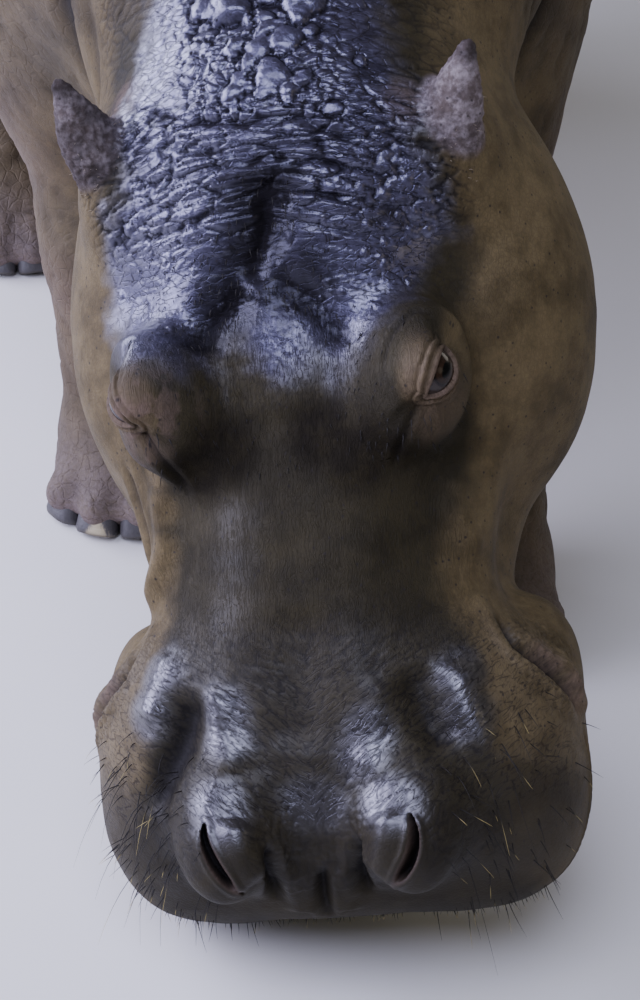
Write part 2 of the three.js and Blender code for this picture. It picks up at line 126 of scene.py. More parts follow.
TOES = dict(count=4, spread=32, reach=(.074, .08), height=.036, radii=(.033, .046, .035), blend=.016)
EARS = (
    dict(side=1, root=(.154, .684, -.046), along=(.038, .072, .058), opening=(.7, .43, -.54)),
    dict(side=-1, root=(-.158, .692, -.042), along=(-.022, .076, .061), opening=(-.7, .43, -.54)),
)
EAR_SHAPES = (
    dict(name="leaf", at=(0, 0, .026), radii=(.021, .028, .046), blend=.01),
    dict(name="tip", at=(-.003, .003, .062), radii=(.011, .0135, .042), blend=.022),
)
EAR_HOLLOW = dict(at=(.022, 0, .044), radii=(.02, .019, .044), blend=.008)
EYE = dict(place=(.13, .475, .019), radius=.023)


# ---------- frames and fields ----------

def turning(turn=0, pitch=0, roll=0):
    """The axes of a frame, as columns: turned about z, then pitched about x, then rolled about y."""
    z, x, y = (math.radians(a) for a in (turn, pitch, roll))
    cz, sz, cx, sx, cy, sy = math.cos(z), math.sin(z), math.cos(x), math.sin(x), math.cos(y), math.sin(y)
    return (np.array(((cz, -sz, 0), (sz, cz, 0), (0, 0, 1)))
            @ np.array(((1, 0, 0), (0, cx, -sx), (0, sx, cx)))
            @ np.array(((cy, 0, sy), (0, 1, 0), (-sy, 0, cy))))


class Frame:
    def __init__(self, place, axes=np.eye(3)):
        self.place, self.axes = np.array(place, float), np.array(axes, float)

    def inside(self, points):
        return (points - self.place) @ self.axes

    def outside(self, points):
        return np.asarray(points) @ self.axes.T + self.place

    def times(self, other):
        return Frame(self.outside(other.place), self.axes @ other.axes)


def unit(v):
    v = np.asarray(v, float)
    return v / np.linalg.norm(v, axis=-1, keepdims=True)


def smooth_min(a, b, blend):
    share = np.clip(.5 + .5 * (b - a) / blend, 0, 1)
    return b + (a - b) * share - blend * share * (1 - share)


def smooth_max(a, b, blend):
    return -smooth_min(-a, -b, blend)


def ease(low, high, value):
    t = np.clip((value - low) / (high - low), 0, 1)
    return t * t * (3 - 2 * t)


def egg(points, at, radii, tilt=(0, 0, 0), square=2.0, **_):
    q = points - np.array(at)
    if any(tilt):
        q = q @ turning(tilt[1], tilt[0], tilt[2])
    q = np.abs(q) / np.array(radii)
    if square == 2.0:
        size = np.sqrt((q * q).sum(-1)) + 1e-9
        slope = np.sqrt(((q / np.array(radii)) ** 2).sum(-1)) / size + 1e-9
    else:
        size = (q ** square).sum(-1) ** (1 / square) + 1e-9
        slope = np.sqrt((((q / size[:, None]) ** (square - 1) / np.array(radii)) ** 2).sum(-1))
    return (size - 1) / slope


def bar(points, start, end, radii, **_):
    along = np.array(end) - np.array(start)
    rest = points - np.array(start)
    t = np.clip(rest @ along / (along @ along), 0, 1)
    eased = t * t * (3 - 2 * t)
    return np.linalg.norm(rest - t[:, None] * along, axis=1) - (radii[0] + (radii[1] - radii[0]) * eased)


def blended(points, shapes):
    value = None
    for shape in shapes:
        for side in (1, -1) if shape.get("pair") else (1,):
            measure = bar if "start" in shape else egg
            distance = measure(points * (side, 1, 1), **shape)
            value = distance if value is None else smooth_min(value, distance, shape["blend"])
    return value


HEAD = Frame(HEAD_PLACE, turning(HEAD_TURN, HEAD_PITCH, -HEAD_ROLL))
TRUNK = Frame(SHOULDERS_PLACE, turning(TRUNK_TURN))


def ear_frame(ear):
    up = unit(ear["along"])
    across = unit(np.cross(up, ear["opening"]))
    return HEAD.times(Frame(ear["root"], np.stack((np.cross(across, up), across, up), 1)))


def foot_frame(leg):
    return Frame((*leg["foot"], 0), turning(leg["heading"]))


def toe_frames():
    frames = []
    for i in range(TOES["count"]):
        angle = (i - (TOES["count"] - 1) / 2) * TOES["spread"]
        a = math.radians(angle)
        place = (math.sin(a) * TOES["reach"][0], -math.cos(a) * TOES["reach"][1], TOES["height"])
        frames.append(Frame(place, turning(angle)))
    return frames


def foot_field(q):
    value = egg(q, **FOOT_PAD)
    for toe in toe_frames():
        value = smooth_min(value, egg(toe.inside(q), (0, 0, 0), TOES["radii"]), TOES["blend"])
    return value


def leg_field(points, leg):
    elbow, wrist, ankle = leg["radii"]
    column = smooth_min(bar(points, leg["elbow"], leg["wrist"], (elbow, wrist)),
                        bar(points, leg["wrist"], leg["ankle"], (wrist, ankle)), KNEE_BLEND)
    return smooth_min(column, foot_field(foot_frame(leg).inside(points)), KNEE_BLEND)


def torso_field(points):
    q = TRUNK.inside(points)
    body = smooth_min(blended(q, TRUNK_SHAPES), blended(points, NECK_SHAPES), NECK_BLEND)
    near_tail = (q[:, 1] > 1.25) & (np.abs(q[:, 0]) < .2)
    return smooth_min(body, where(near_tail, q, lambda p: blended(p, TAIL_SHAPES)), TAIL_BLEND)


def ear_field(points, ear):
    q = ear_frame(ear).inside(points)
    return smooth_max(blended(q, EAR_SHAPES), -egg(q, **EAR_HOLLOW), EAR_HOLLOW["blend"])


def where(mask, points, function):
    value = np.full(len(points), FAR)
    if mask.any():
        value[mask] = function(points[mask])
    return value


def body_field(points):
    """Below zero inside the animal, about the distance to its skin outside."""
    q = HEAD.inside(points)
    near_head = ((q > (-.4, -.12, -.5)) & (q < (.4, 1.0, .2))).all(1)
    front = near_head & (q[:, 1] < .38) & (q[:, 2] > -.4)
    torso = where(~front, points, torso_field)
    head = smooth_min(torso, where(near_head, q, lambda p: blended(p, HEAD_SHAPES)), NECK_BLEND)
    for ear in EARS:
        near_ear = np.linalg.norm(q - ear["root"] - unit(ear["along"]) * .04, axis=1) < .13
        head = smooth_min(head, where(near_ear, points, lambda p: ear_field(p, ear)), EAR_BLEND)
    body = torso
    for leg in LEGS:
        spine = np.array([leg["elbow"], leg["wrist"], leg["ankle"], (*leg["foot"], 0)])
        low, high = spine.min(0) - .32, spine.max(0) + .32
        near_leg = ((points > low) & (points < high)).all(1)
        body = smooth_min(body, where(near_leg, points, lambda p: leg_field(p, leg)), LEG_BLEND)
    return smooth_max(np.minimum(head, body), -points[:, 2], SOLE_BLEND)


POOL = ThreadPoolExecutor(4)


def at_once(function, points, share=30000):
    """function(points), worked out in several threads."""
    parts = np.array_split(points, max(1, len(points) // share))
    return np.concatenate(list(POOL.map(function, parts)))


def mirrored(q):
    """These points, all on the head's left side."""
    return np.stack((np.abs(q[:, 0]), q[:, 1], q[:, 2]), 1)


def slope(points, step=.0015):
    """The way out of the skin at these points."""
    corners = np.array(((1, 1, 1), (1, -1, -1), (-1, 1, -1), (-1, -1, 1)), float)
    total = sum(corner * at_once(body_field, points + corner * step)[:, None] for corner in corners)
    return unit(total + 1e-12)


# ---------- noise ----------

def hashed(cell, seed):
    """A number from 0 to 1 for each whole-numbered cell."""
    x, y, z = (cell[..., i].astype(np.uint32) for i in range(3))
    h = x * np.uint32(73856093) ^ y * np.uint32(19349663) ^ z * np.uint32(83492791) ^ np.uint32(seed * 40503)
    h = (h ^ (h >> np.uint32(13))) * np.uint32(1274126177)
    h = (h ^ (h >> np.uint32(16))) * np.uint32(668265263)
    return (h ^ (h >> np.uint32(15))).astype(np.float64) / 4294967295.0


def noise(points, seed=0):
    """Smooth noise from 0 to 1, with features about 1 across."""
    cell = np.floor(points)
    f = points - cell
    f = f * f * (3 - 2 * f)
    cell = cell.astype(np.int64)
    total = 0
    for i in (0, 1):
        for j in (0, 1):
            for k in (0, 1):
                weight = ((f[:, 0] if i else 1 - f[:, 0]) * (f[:, 1] if j else 1 - f[:, 1])
                          * (f[:, 2] if k else 1 - f[:, 2]))
                total = total + weight * hashed(cell + (i, j, k), seed)
    return total


def layered(points, seed=0, layers=3):
    total, weight = 0, 0
    for i in range(layers):
        total = total + noise(points * 2 ** i, seed + i) * .5 ** i
        weight += .5 ** i
    return total / weight


def cobbles(points, seed=0):
    """The distances to the nearest and the second nearest of scattered seeds, one to each cell."""
    base = np.floor(points).astype(np.int64)
    rest = points - base
    first, second = np.full(len(points), 9.0), np.full(len(points), 9.0)
    for step in np.ndindex(3, 3, 3):
        step = np.array(step) - 1
        spot = np.stack([hashed(base + step, seed + k) for k in range(3)], 1) * .8 + .1
        away = np.linalg.norm(step + spot - rest, axis=1)
        second = np.minimum(second, np.maximum(first, away))
        first = np.minimum(first, away)
    return np.stack((first, second), 1)


# ---------- the skin's relief, in the head's frame ----------

def curve(points, steps=5):
    """A smooth line through these points."""
    p = np.array(points, float)
    if len(p) < 3:
        return p
    ends = np.concatenate((2 * p[:1] - p[1:2], p, 2 * p[-1:] - p[-2:-1]))
    t = np.linspace(0, 1, steps, endpoint=False)[:, None]
    line = [.5 * (2 * b + (c - a) * t + (2 * a - 5 * b + 4 * c - d) * t * t
                  + (3 * b - a - 3 * c + d) * t ** 3)
            for a, b, c, d in zip(ends, ends[1:], ends[2:], ends[3:])]
    return np.concatenate(line + [p[-1:]])


def beside(q, line, reach):
    """Which points are within reach of the line, how far from it, and at what share of its length."""
    near = np.flatnonzero(((q > line.min(0) - reach) & (q < line.max(0) + reach)).all(1))
    best, share = np.full(len(near), FAR), np.zeros(len(near))
    steps = np.linalg.norm(np.diff(line, axis=0), axis=1)
    start = np.concatenate(((0,), np.cumsum(steps)))
    for i, (a, b) in enumerate(zip(line, line[1:])):
        rest = q[near] - a
        t = np.clip(rest @ (b - a) / (steps[i] ** 2 + 1e-12), 0, 1)
        away = np.linalg.norm(rest - t[:, None] * (b - a), axis=1)
        closer = away < best
        best[closer] = away[closer]
        share[closer] = ((start[i] + t * steps[i]) / start[-1])[closer]
    return near, best, share


def on_skin(points):
    """The nearest places on the skin, for points given in the head's frame."""
    places = HEAD.outside(np.array(points, float))
    for _ in range(4):
        places = places - slope(places) * body_field(places)[:, None]
    return HEAD.inside(places)


def line(width, height, *places, dark=1, pair=False):
    """A ridge of the skin, or a fold if its height is below zero, in millimetres; dark: how much painted
    shade a fold gets; pair: on both sides.
    """
    points = np.array(places) / 1000
    return dict(width=width / 1000, height=height / 1000, dark=dark,
                ways=(points, points * (-1, 1, 1)) if pair else (points,))


LINES = (
    # the folds of the nape and the crown
    line(6, -5, (-70, 806, -12), (-29, 807, -1), (-4, 808, 1)),
    line(4.2, -3.6, (-136, 750, -31), (-77, 721, 8), (-36, 714, 20), (7, 707, 24), (30, 709, 23),
         (67, 692, 15), (100, 690, 4)),
    line(3.6, -2.8, (-113, 707, -6), (-63, 696, 14), (-26, 684, 22), (5, 685, 24), (46, 685, 20),
         (100, 676, 3)),
    line(4, -3.2, (-139, 675, -14), (-88, 671, 4), (-42, 674, 19), (-2, 675, 23), (42, 670, 20),
         (77, 662, 10), (125, 652, -9)),
    line(3.4, -2.6, (-119, 648, -12), (-67, 650, 9), (-29, 655, 19), (-4, 656, 21), (25, 648, 19),
         (66, 636, 9), (118, 622, -14)),
    line(3.4, -2.4, (-141, 623, -29), (-87, 627, -2), (-43, 634, 13), (-9, 632, 17)),
    line(3.4, -2.4, (5, 625, 15), (39, 616, 11), (78, 605, -1), (127, 599, -28)),
    # the groove of the forehead and the hollows at its foot
    line(26, -16, (-4, 668, 22), (-5, 629, 16), (-12, 607, 11), (-24, 585, 5), (-33, 560, 0)),
    line(5, -3.2, (-4, 650, 20), (-8, 615, 14), (-24, 580, 3)),
    line(19, -12, (-26, 575, 1), (-49, 551, -4), (-66, 535, -6), (-74, 505, -3)),
    line(16, -9, (-10, 575, 2), (26, 556, -1), (44, 530, -5), (58, 500, -4), dark=.7),
    line(36, 6, (-2, 552, -3), (2, 500, -5), (3, 440, -8)),
    # the folds around the right eye and the fold down the cheek
    line(4, -3, (-171, 498, -8), (-139, 460, 30), (-112, 432, 24)),
    line(5, -5, (-137, 451, 28), (-115, 424, 15), (-105, 407, -12), (-103, 385, -36)),
    line(14, 11, (-135, 425, -55), (-130, 385, -66), (-131, 345, -70), (-150, 310, -90), (-165, 290, -110)),
    line(6, -5, (-177, 439, -90), (-160, 393, -92), (-152, 351, -92), (-168, 315, -110)),
    line(16, 6, (135, 425, -55), (135, 385, -68), (138, 345, -75), (152, 310, -90)),
    # below and around the left eye
    line(3.4, -2.8, (118, 440, 28), (106, 424, 12), (94, 408, -8), (88, 390, -24)),
    line(3.4, -2.6, (92, 470, 34), (100, 502, 30), (122, 524, 18), (147, 520, 10)),
    # the muzzle: its middle, its ridges and the hollows between them
    line(28, -7, (0, 290, 0), (-6, 230, 3), (-8, 150, 0), dark=.15),
    line(18, 7, (-88, 232, -12), (-83, 200, -7), (-78, 170, -3), (-62, 138, 6)),
    line(18, 6, (66, 222, -8), (58, 180, 0), (50, 150, 2), (34, 130, 0)),
    line(20, 8, (-125, 258, -37), (-138, 222, -30), (-152, 185, -32)),
    line(20, 8, (128, 235, -30), (134, 195, -23), (145, 160, -22), (168, 135, -34)),
    line(16, -14, (-104, 222, -18), (-112, 190, -16), (-126, 162, -18), (-142, 138, -24), (-152, 105, -32)),
    line(16, -9, (94, 228, -12), (98, 198, -12), (106, 172, -10), (124, 148, -10), dark=.5),
    # the lobes beside the nostrils
    line(15, 8, (-64, 108, 22), (-65, 88, 24), (-58, 62, 20), (-52, 46, 10)),
    line(15, 8, (62, 108, 22), (64, 88, 24), (57, 62, 19), (50, 46, 6)),
    line(6, -10, (-40, 85, 12), (-40, 64, 6), (-44, 45, -15), (-48, 28, -40), dark=.8),
    line(6, -10, (36, 85, 8), (32, 62, -4), (33, 45, -22), (38, 30, -40), dark=.8),
    line(5, -9, (1, 58, -10), (-3, 43, -26), (-6, 24, -45), (-8, 10, -80), dark=.8),
    line(12, 6, (-24, 60, -6), (-26, 36, -30), (-28, 15, -60)),
    line(11, 6, (15, 58, -8), (14, 36, -30), (14, 15, -60)),
    # the corner of the lips, and the line where they meet
    line(7, -13, (158, 270, -80), (176, 240, -70), (196, 219, -82), (214, 196, -104), (221, 170, -128),
         pair=True),
    line(4.2, -8, (221, 172, -126), (214, 125, -152), (192, 70, -176), (150, 30, -186), (80, 12, -190),
         (0, 10, -192), pair=True),
    line(15, 7, (206, 232, -112), (222, 196, -132), (225, 165, -150), pair=True),
    line(9, 4, (150, 290, -70), (168, 262, -62), (186, 236, -62), pair=True),
)
# Each knob of the nape and each wart of the crown: its place and its radius.
KNOBS = np.array((
    (6, 777, 12, 11), (30, 785, 8, 13), (17, 753, 19, 12), (-22, 736, 20, 12), (-18, 782, 9, 10),
    (3, 809, 1, 9), (42, 820, -6, 16), (-27, 827, -6, 17), (-15, 752, 18, 8), (-4, 745, 20, 6),
    (7, 737, 22, 6), (26, 768, 14, 6), (28, 732, 21, 12), (5, 794, 5, 8), (-50, 829, -11, 13),
    (-6, 765, 16, 7), (40, 747, 17, 9), (12, 838, -10, 14), (-52, 800, -4, 9), (52, 790, 2, 9)
)) / 1000
WARTS = np.array((
    (-100, 692, 0, 7), (-79, 690, 9, 6), (-132, 674, -12, 8), (-146, 647, -22, 7), (-135, 636, -21, 8),
    (-157, 632, -33, 7), (-158, 666, -21, 6), (-121, 654, -11, 6), (-95, 643, -2, 5), (82, 645, 6, 6),
    (101, 639, -3, 8), (122, 650, -9, 8), (134, 607, -30, 7), (124, 622, -19, 8), (138, 638, -19, 6),
    (89, 633, 1, 5), (120, 607, -21, 6), (100, 661, 1, 7), (116, 678, -3, 6)
)) / 1000
BODY_LINES = (
    # given in the trunk's frame: the fold before each thigh, behind each shoulder, and the neck's folds
    line(30, -16, (470, 800, 980), (440, 860, 740), (360, 860, 520), (260, 800, 440), dark=.3, pair=True),
    line(26, -10, (330, 240, 1050), (380, 240, 800), (330, 180, 620), (240, 120, 520), dark=.3, pair=True),
    line(24, -10, (200, 1420, 900), (120, 1360, 660), (90, 1280, 480), pair=True),
    line(20, -12, (0, 1500, 780), (0, 1420, 600), (0, 1320, 480)),
    line(20, -11, (260, -220, 920), (240, -300, 700), (120, -360, 540), (0, -380, 500), pair=True),
    line(18, -10, (250, -100, 600), (140, -180, 480), (0, -220, 440), pair=True),
    line(14, -8, (220, -300, 860), (200, -400, 660), (100, -460, 500), (0, -470, 470), pair=True),
)
BROAD = .01  # wider folds have no raised edges
LINE_REACH = 3.2  # how many of its widths a line reaches to each side
LIP_CORNER = np.array((.205, .225, -.1))
EAR_ROOTS = np.array([ear["root"] for ear in EARS])
# The nostrils' slits on the left and the right, in millimetres; then their size in metres.
SLITS = {
    1: ((85, 101, 24), (88, 86, 27), (85, 67, 27), (75, 51, 22), (55, 36, 2)),
    -1: ((-93, 103, 22), (-92, 86, 27), (-86, 69, 28), (-78, 55, 25), (-66, 40, 10)),
}
SLIT = dict(width=.0052, depth=.021, under=.006)


def caps(q, near, centres, radii, height):
    """Round-topped knobs: the highest of them at each point, and how close their edges are."""
    value, moat = np.zeros(len(q)), np.zeros(len(q))
    for centre, radius in zip(centres, radii):
        ids = near[(np.abs(q[near] - centre) < radius * 1.6).all(1)]
        far = np.linalg.norm(q[ids] - centre, axis=1) / radius
        value[ids] = np.maximum(value[ids], height * radius * np.clip(1 - far ** 2, 0, 1) ** .65)
        moat[ids] = np.maximum(moat[ids], np.exp(-((far - 1.1) / .16) ** 2))
    return value, moat


def creases(q, scale, seed, sharp):
    """Thin lines where a stretched noise passes its middle: 0 to 1."""
    return (1 - np.abs(2 * noise(q * scale, seed) - 1)) ** sharp


def plates(points, scale, seed):
    """Plates between scattered seeds: how far each point is from its seed, and from the plate's edge."""
    near, second = at_once(lambda v: cobbles(v * scale, seed), points).T
    return near, second - near


def wobble(points, seeds):
    """Three noises as one way to move, from -.5 to .5."""
    return np.stack([noise(points, seed) - .5 for seed in seeds], 1)


def ear_share(q):
    """1 on the ears, 0 beside them."""
    share = np.zeros(len(q))
    for ear in EARS:
        p = ear_frame(ear).inside(HEAD.outside(q))
        on_ear = ease(.006, -.002, egg(p, (0, 0, .046), (.03, .036, .07)))
        share = np.maximum(share, on_ear * ease(-.004, .012, p[:, 2]))
    return share


def press_lines(q, height, shade):
    """The folds and ridges; those in BODY_LINES are given in the trunk's frame."""
    for lines, to_head in ((LINES, None), (BODY_LINES, TRUNK)):
        for one in lines:
            for points in one["ways"]:
                if to_head is not None:
                    points = HEAD.inside(to_head.outside(points))
                ids, away, share = beside(q, curve(on_skin(points)), LINE_REACH * one["width"])
                ends = ease(0, .22, share) * ease(1, .78, share)
                far = away / one["width"]
                form = np.exp(-far ** 2)
                if one["height"] < 0:
                    if one["width"] <= BROAD:
                        form = np.exp(-far ** 1.5) - .3 * np.exp(-(far - 2.1) ** 2)
                    # painted shade along each fold
                    dark = np.clip(-one["height"] / .008, .15, 1) * one["dark"]
                    shade[ids] += dark * np.exp(-(1.3 * far) ** 2) * ends
                height[ids] += one["height"] * form * ends


def raise_knobs(q, crown, height, shade):
    """The nape's knobs and the warts at the ears; gives their height."""
    rng = np.random.default_rng(11)
    small_knobs, ear_warts, loose_warts = 45, 80, 70
    small = rng.normal((0, .8, 0), (.034, .055, .001), (small_knobs, 3))
    centres = on_skin(np.concatenate((KNOBS[:, :3], small)))
    radii = np.concatenate((KNOBS[:, 3] * 1.15, rng.uniform(.0035, .007, small_knobs)))
    knobs, moat = caps(q + .016 * wobble(q * 55, (36, 37, 38)), crown, centres, radii, .36)
    centres, radii = [WARTS[:, :3]], [WARTS[:, 3] * .85]
    for root in EAR_ROOTS:
        middle = (root[0] * .84, root[1] - .03, root[2] + .03)
        centres.append(rng.normal(middle, (.027, .034, .012), (ear_warts, 3)))
        radii.append(rng.uniform(.0022, .005, ear_warts))
    centres.append(rng.uniform((-.13, .54, 0), (.13, .72, .001), (loose_warts, 3)))
    radii.append(rng.uniform(.0026, .0048, loose_warts))
    warts, wart_moat = caps(q, crown, on_skin(np.concatenate(centres)), np.concatenate(radii), .45)
    height += np.maximum(knobs, warts) - .0016 * moat * (knobs == 0) - .0006 * wart_moat * (warts == 0)
    # painted shade in the moats around the knobs and warts
    shade += .85 * moat * (knobs < .001) + .22 * wart_moat * (warts < .0005)
    return np.maximum(knobs, warts)


def crease_crown(q, crown, knobs, height, shade):
    """Cobbles along the middle of the nape, and pleats across the crown."""
    p = q[crown]
    x, y, z = p.T
    rim = ease(.19, .155, np.abs(x)) * ease(-.18, -.12, z) * (1 - .8 * ear_share(p))
    bend = .012 * wobble(p * 30, (33, 34, 35))
    free = 1 - .8 * np.clip(knobs[crown] / .002, 0, 1)
    middle = ease(.095, .04, np.abs(x)) * ease(.7, .74, y)
    near, gap = plates(p + bend, (72, 108, 90), 50)
    dome = ease(0, .36, gap) * (1.15 - .5 * near)
    height[crown] += .0026 * rim * free * middle * dome
    shade[crown] += .5 * rim * free * middle * (1 - ease(0, .16, dome))
    across = y + 1.1 * x ** 2 + .012 * noise(p * 30, 3)
    flat = np.stack((x, across, z), 1) + .5 * bend
    strong = (.22 * ease(.5, .56, y) + .78 * ease(.595, .64, y)) * (.55 + .45 * ease(.77, .71, y))
    strong = strong * (1 - .5 * middle) * rim * free
    deep = ease(.57, .61, y) * ease(.75, .7, y)
    # each set of pleats: cell scale, seed, height, and how much painted shade its edges get
    for scale, seed, size, shade_share in (((20, 104, 60), 52, .0016, .85), ((44, 215, 110), 57, .0003, .3)):
        plate = ease(0, .24, plates(flat, scale, seed)[1])
        height[crown] += strong * (size + .5 * size * deep) * plate
        shade[crown] += strong * shade_share * (1 - ease(0, .8, plate))
    height[crown] += .002 * strong * (noise(flat * (18, 90, 40), 7) - .5)


def net_forehead(q, height, shade):
    """A fine net over the forehead, but not on the brows."""
    x, y, z = q.T
    ids = np.flatnonzero((y > .4) & (y < .6) & (z > -.06) & (np.abs(x) < .15))
    there = ease(.42, .47, y[ids]) * ease(.6, .53, y[ids]) * ease(.15, .11, np.abs(x[ids]))
    brow = np.linalg.norm(mirrored(q[ids]) - (.122, .466, .015), axis=1)
    there = there * ease(.035, .06, brow)
    plate = ease(0, .3, plates(q[ids], (230, 100, 190), 68)[1])
    height[ids] += .0005 * there * plate
    shade[ids] += .35 * there * (1 - plate)


def wrinkle_muzzle(q, height, shade):
    """Wrinkles that fan over the muzzle, and small bumps between the nostrils."""
    x, y, z = q.T
    nose = np.flatnonzero((y < .3) & (y > .04) & (z > -.1) & (np.abs(x) < .17))
    x, y, z = q[nose].T
    side = np.abs(x)
    fan = y - .75 * side + .008 * noise(q[nose] * 45, 70)
    flat = np.stack((x, fan, z), 1)
    there = ease(.3, .24, y) * ease(.03, .07, y) * ease(-.1, -.05, z) * ease(.17, .14, side)
    away = np.linalg.norm(np.stack((side - .078, .55 * (y - .07), z - .022), 1), axis=1)
    there = there * ease(.01, .026, away)
    bumpy = ease(.056, .04, side) * ease(.125, .095, y) * ease(.01, .03, y)
    near, _ = plates(q[nose], 165, 78)
    height[nose] += .0018 * bumpy * (1 - near)
    # painted shade between the bumps
    shade[nose] += .4 * bumpy * ease(.45, .85, near)
    there = there * (1 - .7 * bumpy)
    # each set of wrinkles: cell scale, seed, height, and how much painted shade its edges get
    for scale, seed, size, shade_share in (((46, 120, 60), 71, .00035, .5), ((80, 215, 100), 76, .0001, .25)):
        plate = ease(0, .26, plates(flat, scale, seed)[1])
        height[nose] += there * size * plate
        shade[nose] += there * shade_share * (1 - ease(0, .45, plate))


def crack_lip_corners(q, height, shade):
    """Cracks about the corners of the lips."""
    away = np.linalg.norm(mirrored(q) - LIP_CORNER, axis=1)
    ids = np.flatnonzero(away < .075)
    there = ease(.07, .035, away[ids])
    plate = ease(0, .25, plates(q[ids], (150, 95, 150), 66)[1])
    height[ids] += .0018 * there * plate
    shade[ids] += .4 * there * (1 - plate)


def roughen_ears(q, height, shade):
    """Small warts on the ears."""
    share = ear_share(q)
    ids = np.flatnonzero(share > .02)
    share = share[ids]
    near, gap = plates(q[ids], 150, 90)
    height[ids] += share * .0018 * np.clip(1 - 1.5 * near, 0, 1) ** .7
    shade[ids] += .3 * share * ease(.16, .02, gap) * ease(.45, .65, noise(q[ids] * 70, 93))


def soften(q, height, shade):
    """Soft unevenness everywhere, more on the body, and the body's net of creases."""
    _, y, z = q.T
    on_head = ease(.92, .74, y) * ease(-.56, -.42, z)
    height += (.0016 * on_head * (layered(q * 34, 20) - .5) * (1 - .6 * ease(.58, .64, y))
               + (1 - on_head) * .01 * (layered(q * 9, 23) - .5))
    body = np.flatnonzero(on_head < .9)
    p = q[body]
    net = creases(p, (14, 26, 20), 30, 7) + .7 * creases(p, (34, 30, 46), 31, 6)
    height[body] -= .0026 * (1 - on_head[body]) * net
    shade[body] += .22 * (1 - on_head[body]) * net


def relief(q):
    """How far each point moves along its normal, how shaded its hollow is, and if a knob holds it."""
    height, shade = np.zeros(len(q)), np.zeros(len(q))
    x, y, z = q.T
    press_lines(q, height, shade)
    crown = np.flatnonzero((y > .5) & (y < .98) & (z > -.18) & (np.abs(x) < .2))
    knobs = raise_knobs(q, crown, height, shade)
    crease_crown(q, crown, knobs, height, shade)
    for shape in (net_forehead, wrinkle_muzzle, crack_lip_corners, roughen_ears, soften):
        shape(q, height, shade)
    return height, np.clip(shade, 0, 1), np.clip(knobs / .0015, 0, 1)


# ---------- eyelids and nostrils ----------

def eye_axes(side):
    """Out of the eye, along its slit towards the nape, and across towards the upper lid."""
    out = unit((.8, -.1, .6) if side > 0 else (-.9, -.06, .43))
    slit = np.array((.3 * side, .9, -.24))
    slit = unit(slit - out * (slit @ out))
    upper = np.cross(out, slit) * side
    return out, slit, upper


# How far the lids open, in radians of the eye, on the left (1) and the right (-1); the rest in metres.
LID = dict(front=1.2, back=1.02, upper={1: .42, -1: .26}, lower={1: .54, -1: .36},
           thick=.0038, reach=.02, blend=.016)
SNAP = .0006  # vertices this near to a lid's edge are moved onto it


def lid_edge(a, b, side):
    """How far outside the opening between the lids, in radians, below zero in it; and the lids' edges."""
    long = np.where(a < 0, LID["front"], LID["back"])
    share = np.clip(1 - (a / long) ** 2, 0, 1)
    top, bottom = LID["upper"][side] * share ** .75, -LID["lower"][side] * share ** .62
    beyond = np.clip(np.abs(a) - long, 0, None)
    return np.where(beyond > 0, np.hypot(b, beyond), np.maximum(b - top, bottom - b)), top, bottom


def shape_lids(q):
    """Moves the skin around each eye into lids; gives the new places and how far each is from the opening."""
    edge_all = np.full(len(q), FAR)
    q = q.copy()
    radius = EYE["radius"]
    for side in (1, -1):
        centre = np.array(EYE["place"]) * (side, 1, 1)
        out, slit, upper = eye_axes(side)
        rest = q - centre
        ids = np.flatnonzero(np.linalg.norm(rest, axis=1) < .062)
        rest = rest[ids]
        away = np.linalg.norm(rest, axis=1)
        u = rest / away[:, None]
        polar = np.arccos(np.clip(u @ out, -1, 1))
        spread = polar / np.maximum(np.sin(polar), 1e-6)
        a, b = (u @ slit) * spread, (u @ upper) * spread
        _, top, bottom = lid_edge(a, b, side)
        snap = SNAP / radius
        inner = np.abs(a) < .97 * np.where(a < 0, LID["front"], LID["back"])
        for limit in (top, bottom):
            close = (np.abs(b - limit) < snap) & inner
            b = np.where(close, limit, b)
        polar = np.hypot(a, b)
        spread = np.sin(polar) / np.maximum(polar, 1e-6)
        u = np.cos(polar)[:, None] * out + spread[:, None] * (a[:, None] * slit + b[:, None] * upper)
        edge = lid_edge(a, b, side)[0]
        off = edge * radius
        around = np.arctan2(b, a)
        wrinkle = noise(np.stack((off * 430, around * 2.6, np.full(len(off), 5.0 * side)), 1), 81)
        wave = .0008 * (noise(np.stack((around * 2, off * 60, np.zeros(len(off))), 1), 82) - .5)
        second = np.where(b > 0, 1, .45)
        rim = radius + LID["thick"] * np.sqrt(np.clip(1 - (1 - np.clip(off / .0026, 0, 1)) ** 2, 0, 1))
        fold = (-.0024 * np.exp(-((off - .0064 - wave) / .0012) ** 2)
                + .0012 * np.exp(-((off - .0095) / .002) ** 2)
                - .0018 * second * np.exp(-((off - .0132 - 2 * wave) / .0013) ** 2)
                - .0008 * ease(.0025, .006, off) * ease(.024, .012, off) * (1 - np.abs(2 * wrinkle - 1)) ** 3)
        lid = rim + .0008 * ease(.002, .012, off)
        below = ease(.3, -.3, b / (np.abs(a) + np.abs(b) + .1))
        mix = ease(.004, LID["reach"] + .016 * below, off)
        outer = smooth_max(away, lid, LID["blend"])
        target = lid + (outer - lid) * mix + fold
        target = np.where(off < 0, radius * .9, target)
        weight = ease(.06, .046, away)
        moved = away + (target - away) * weight
        q[ids] = centre + u * moved[:, None]
        edge_all[ids] = np.where(away < .045, off, FAR)
    return q, edge_all


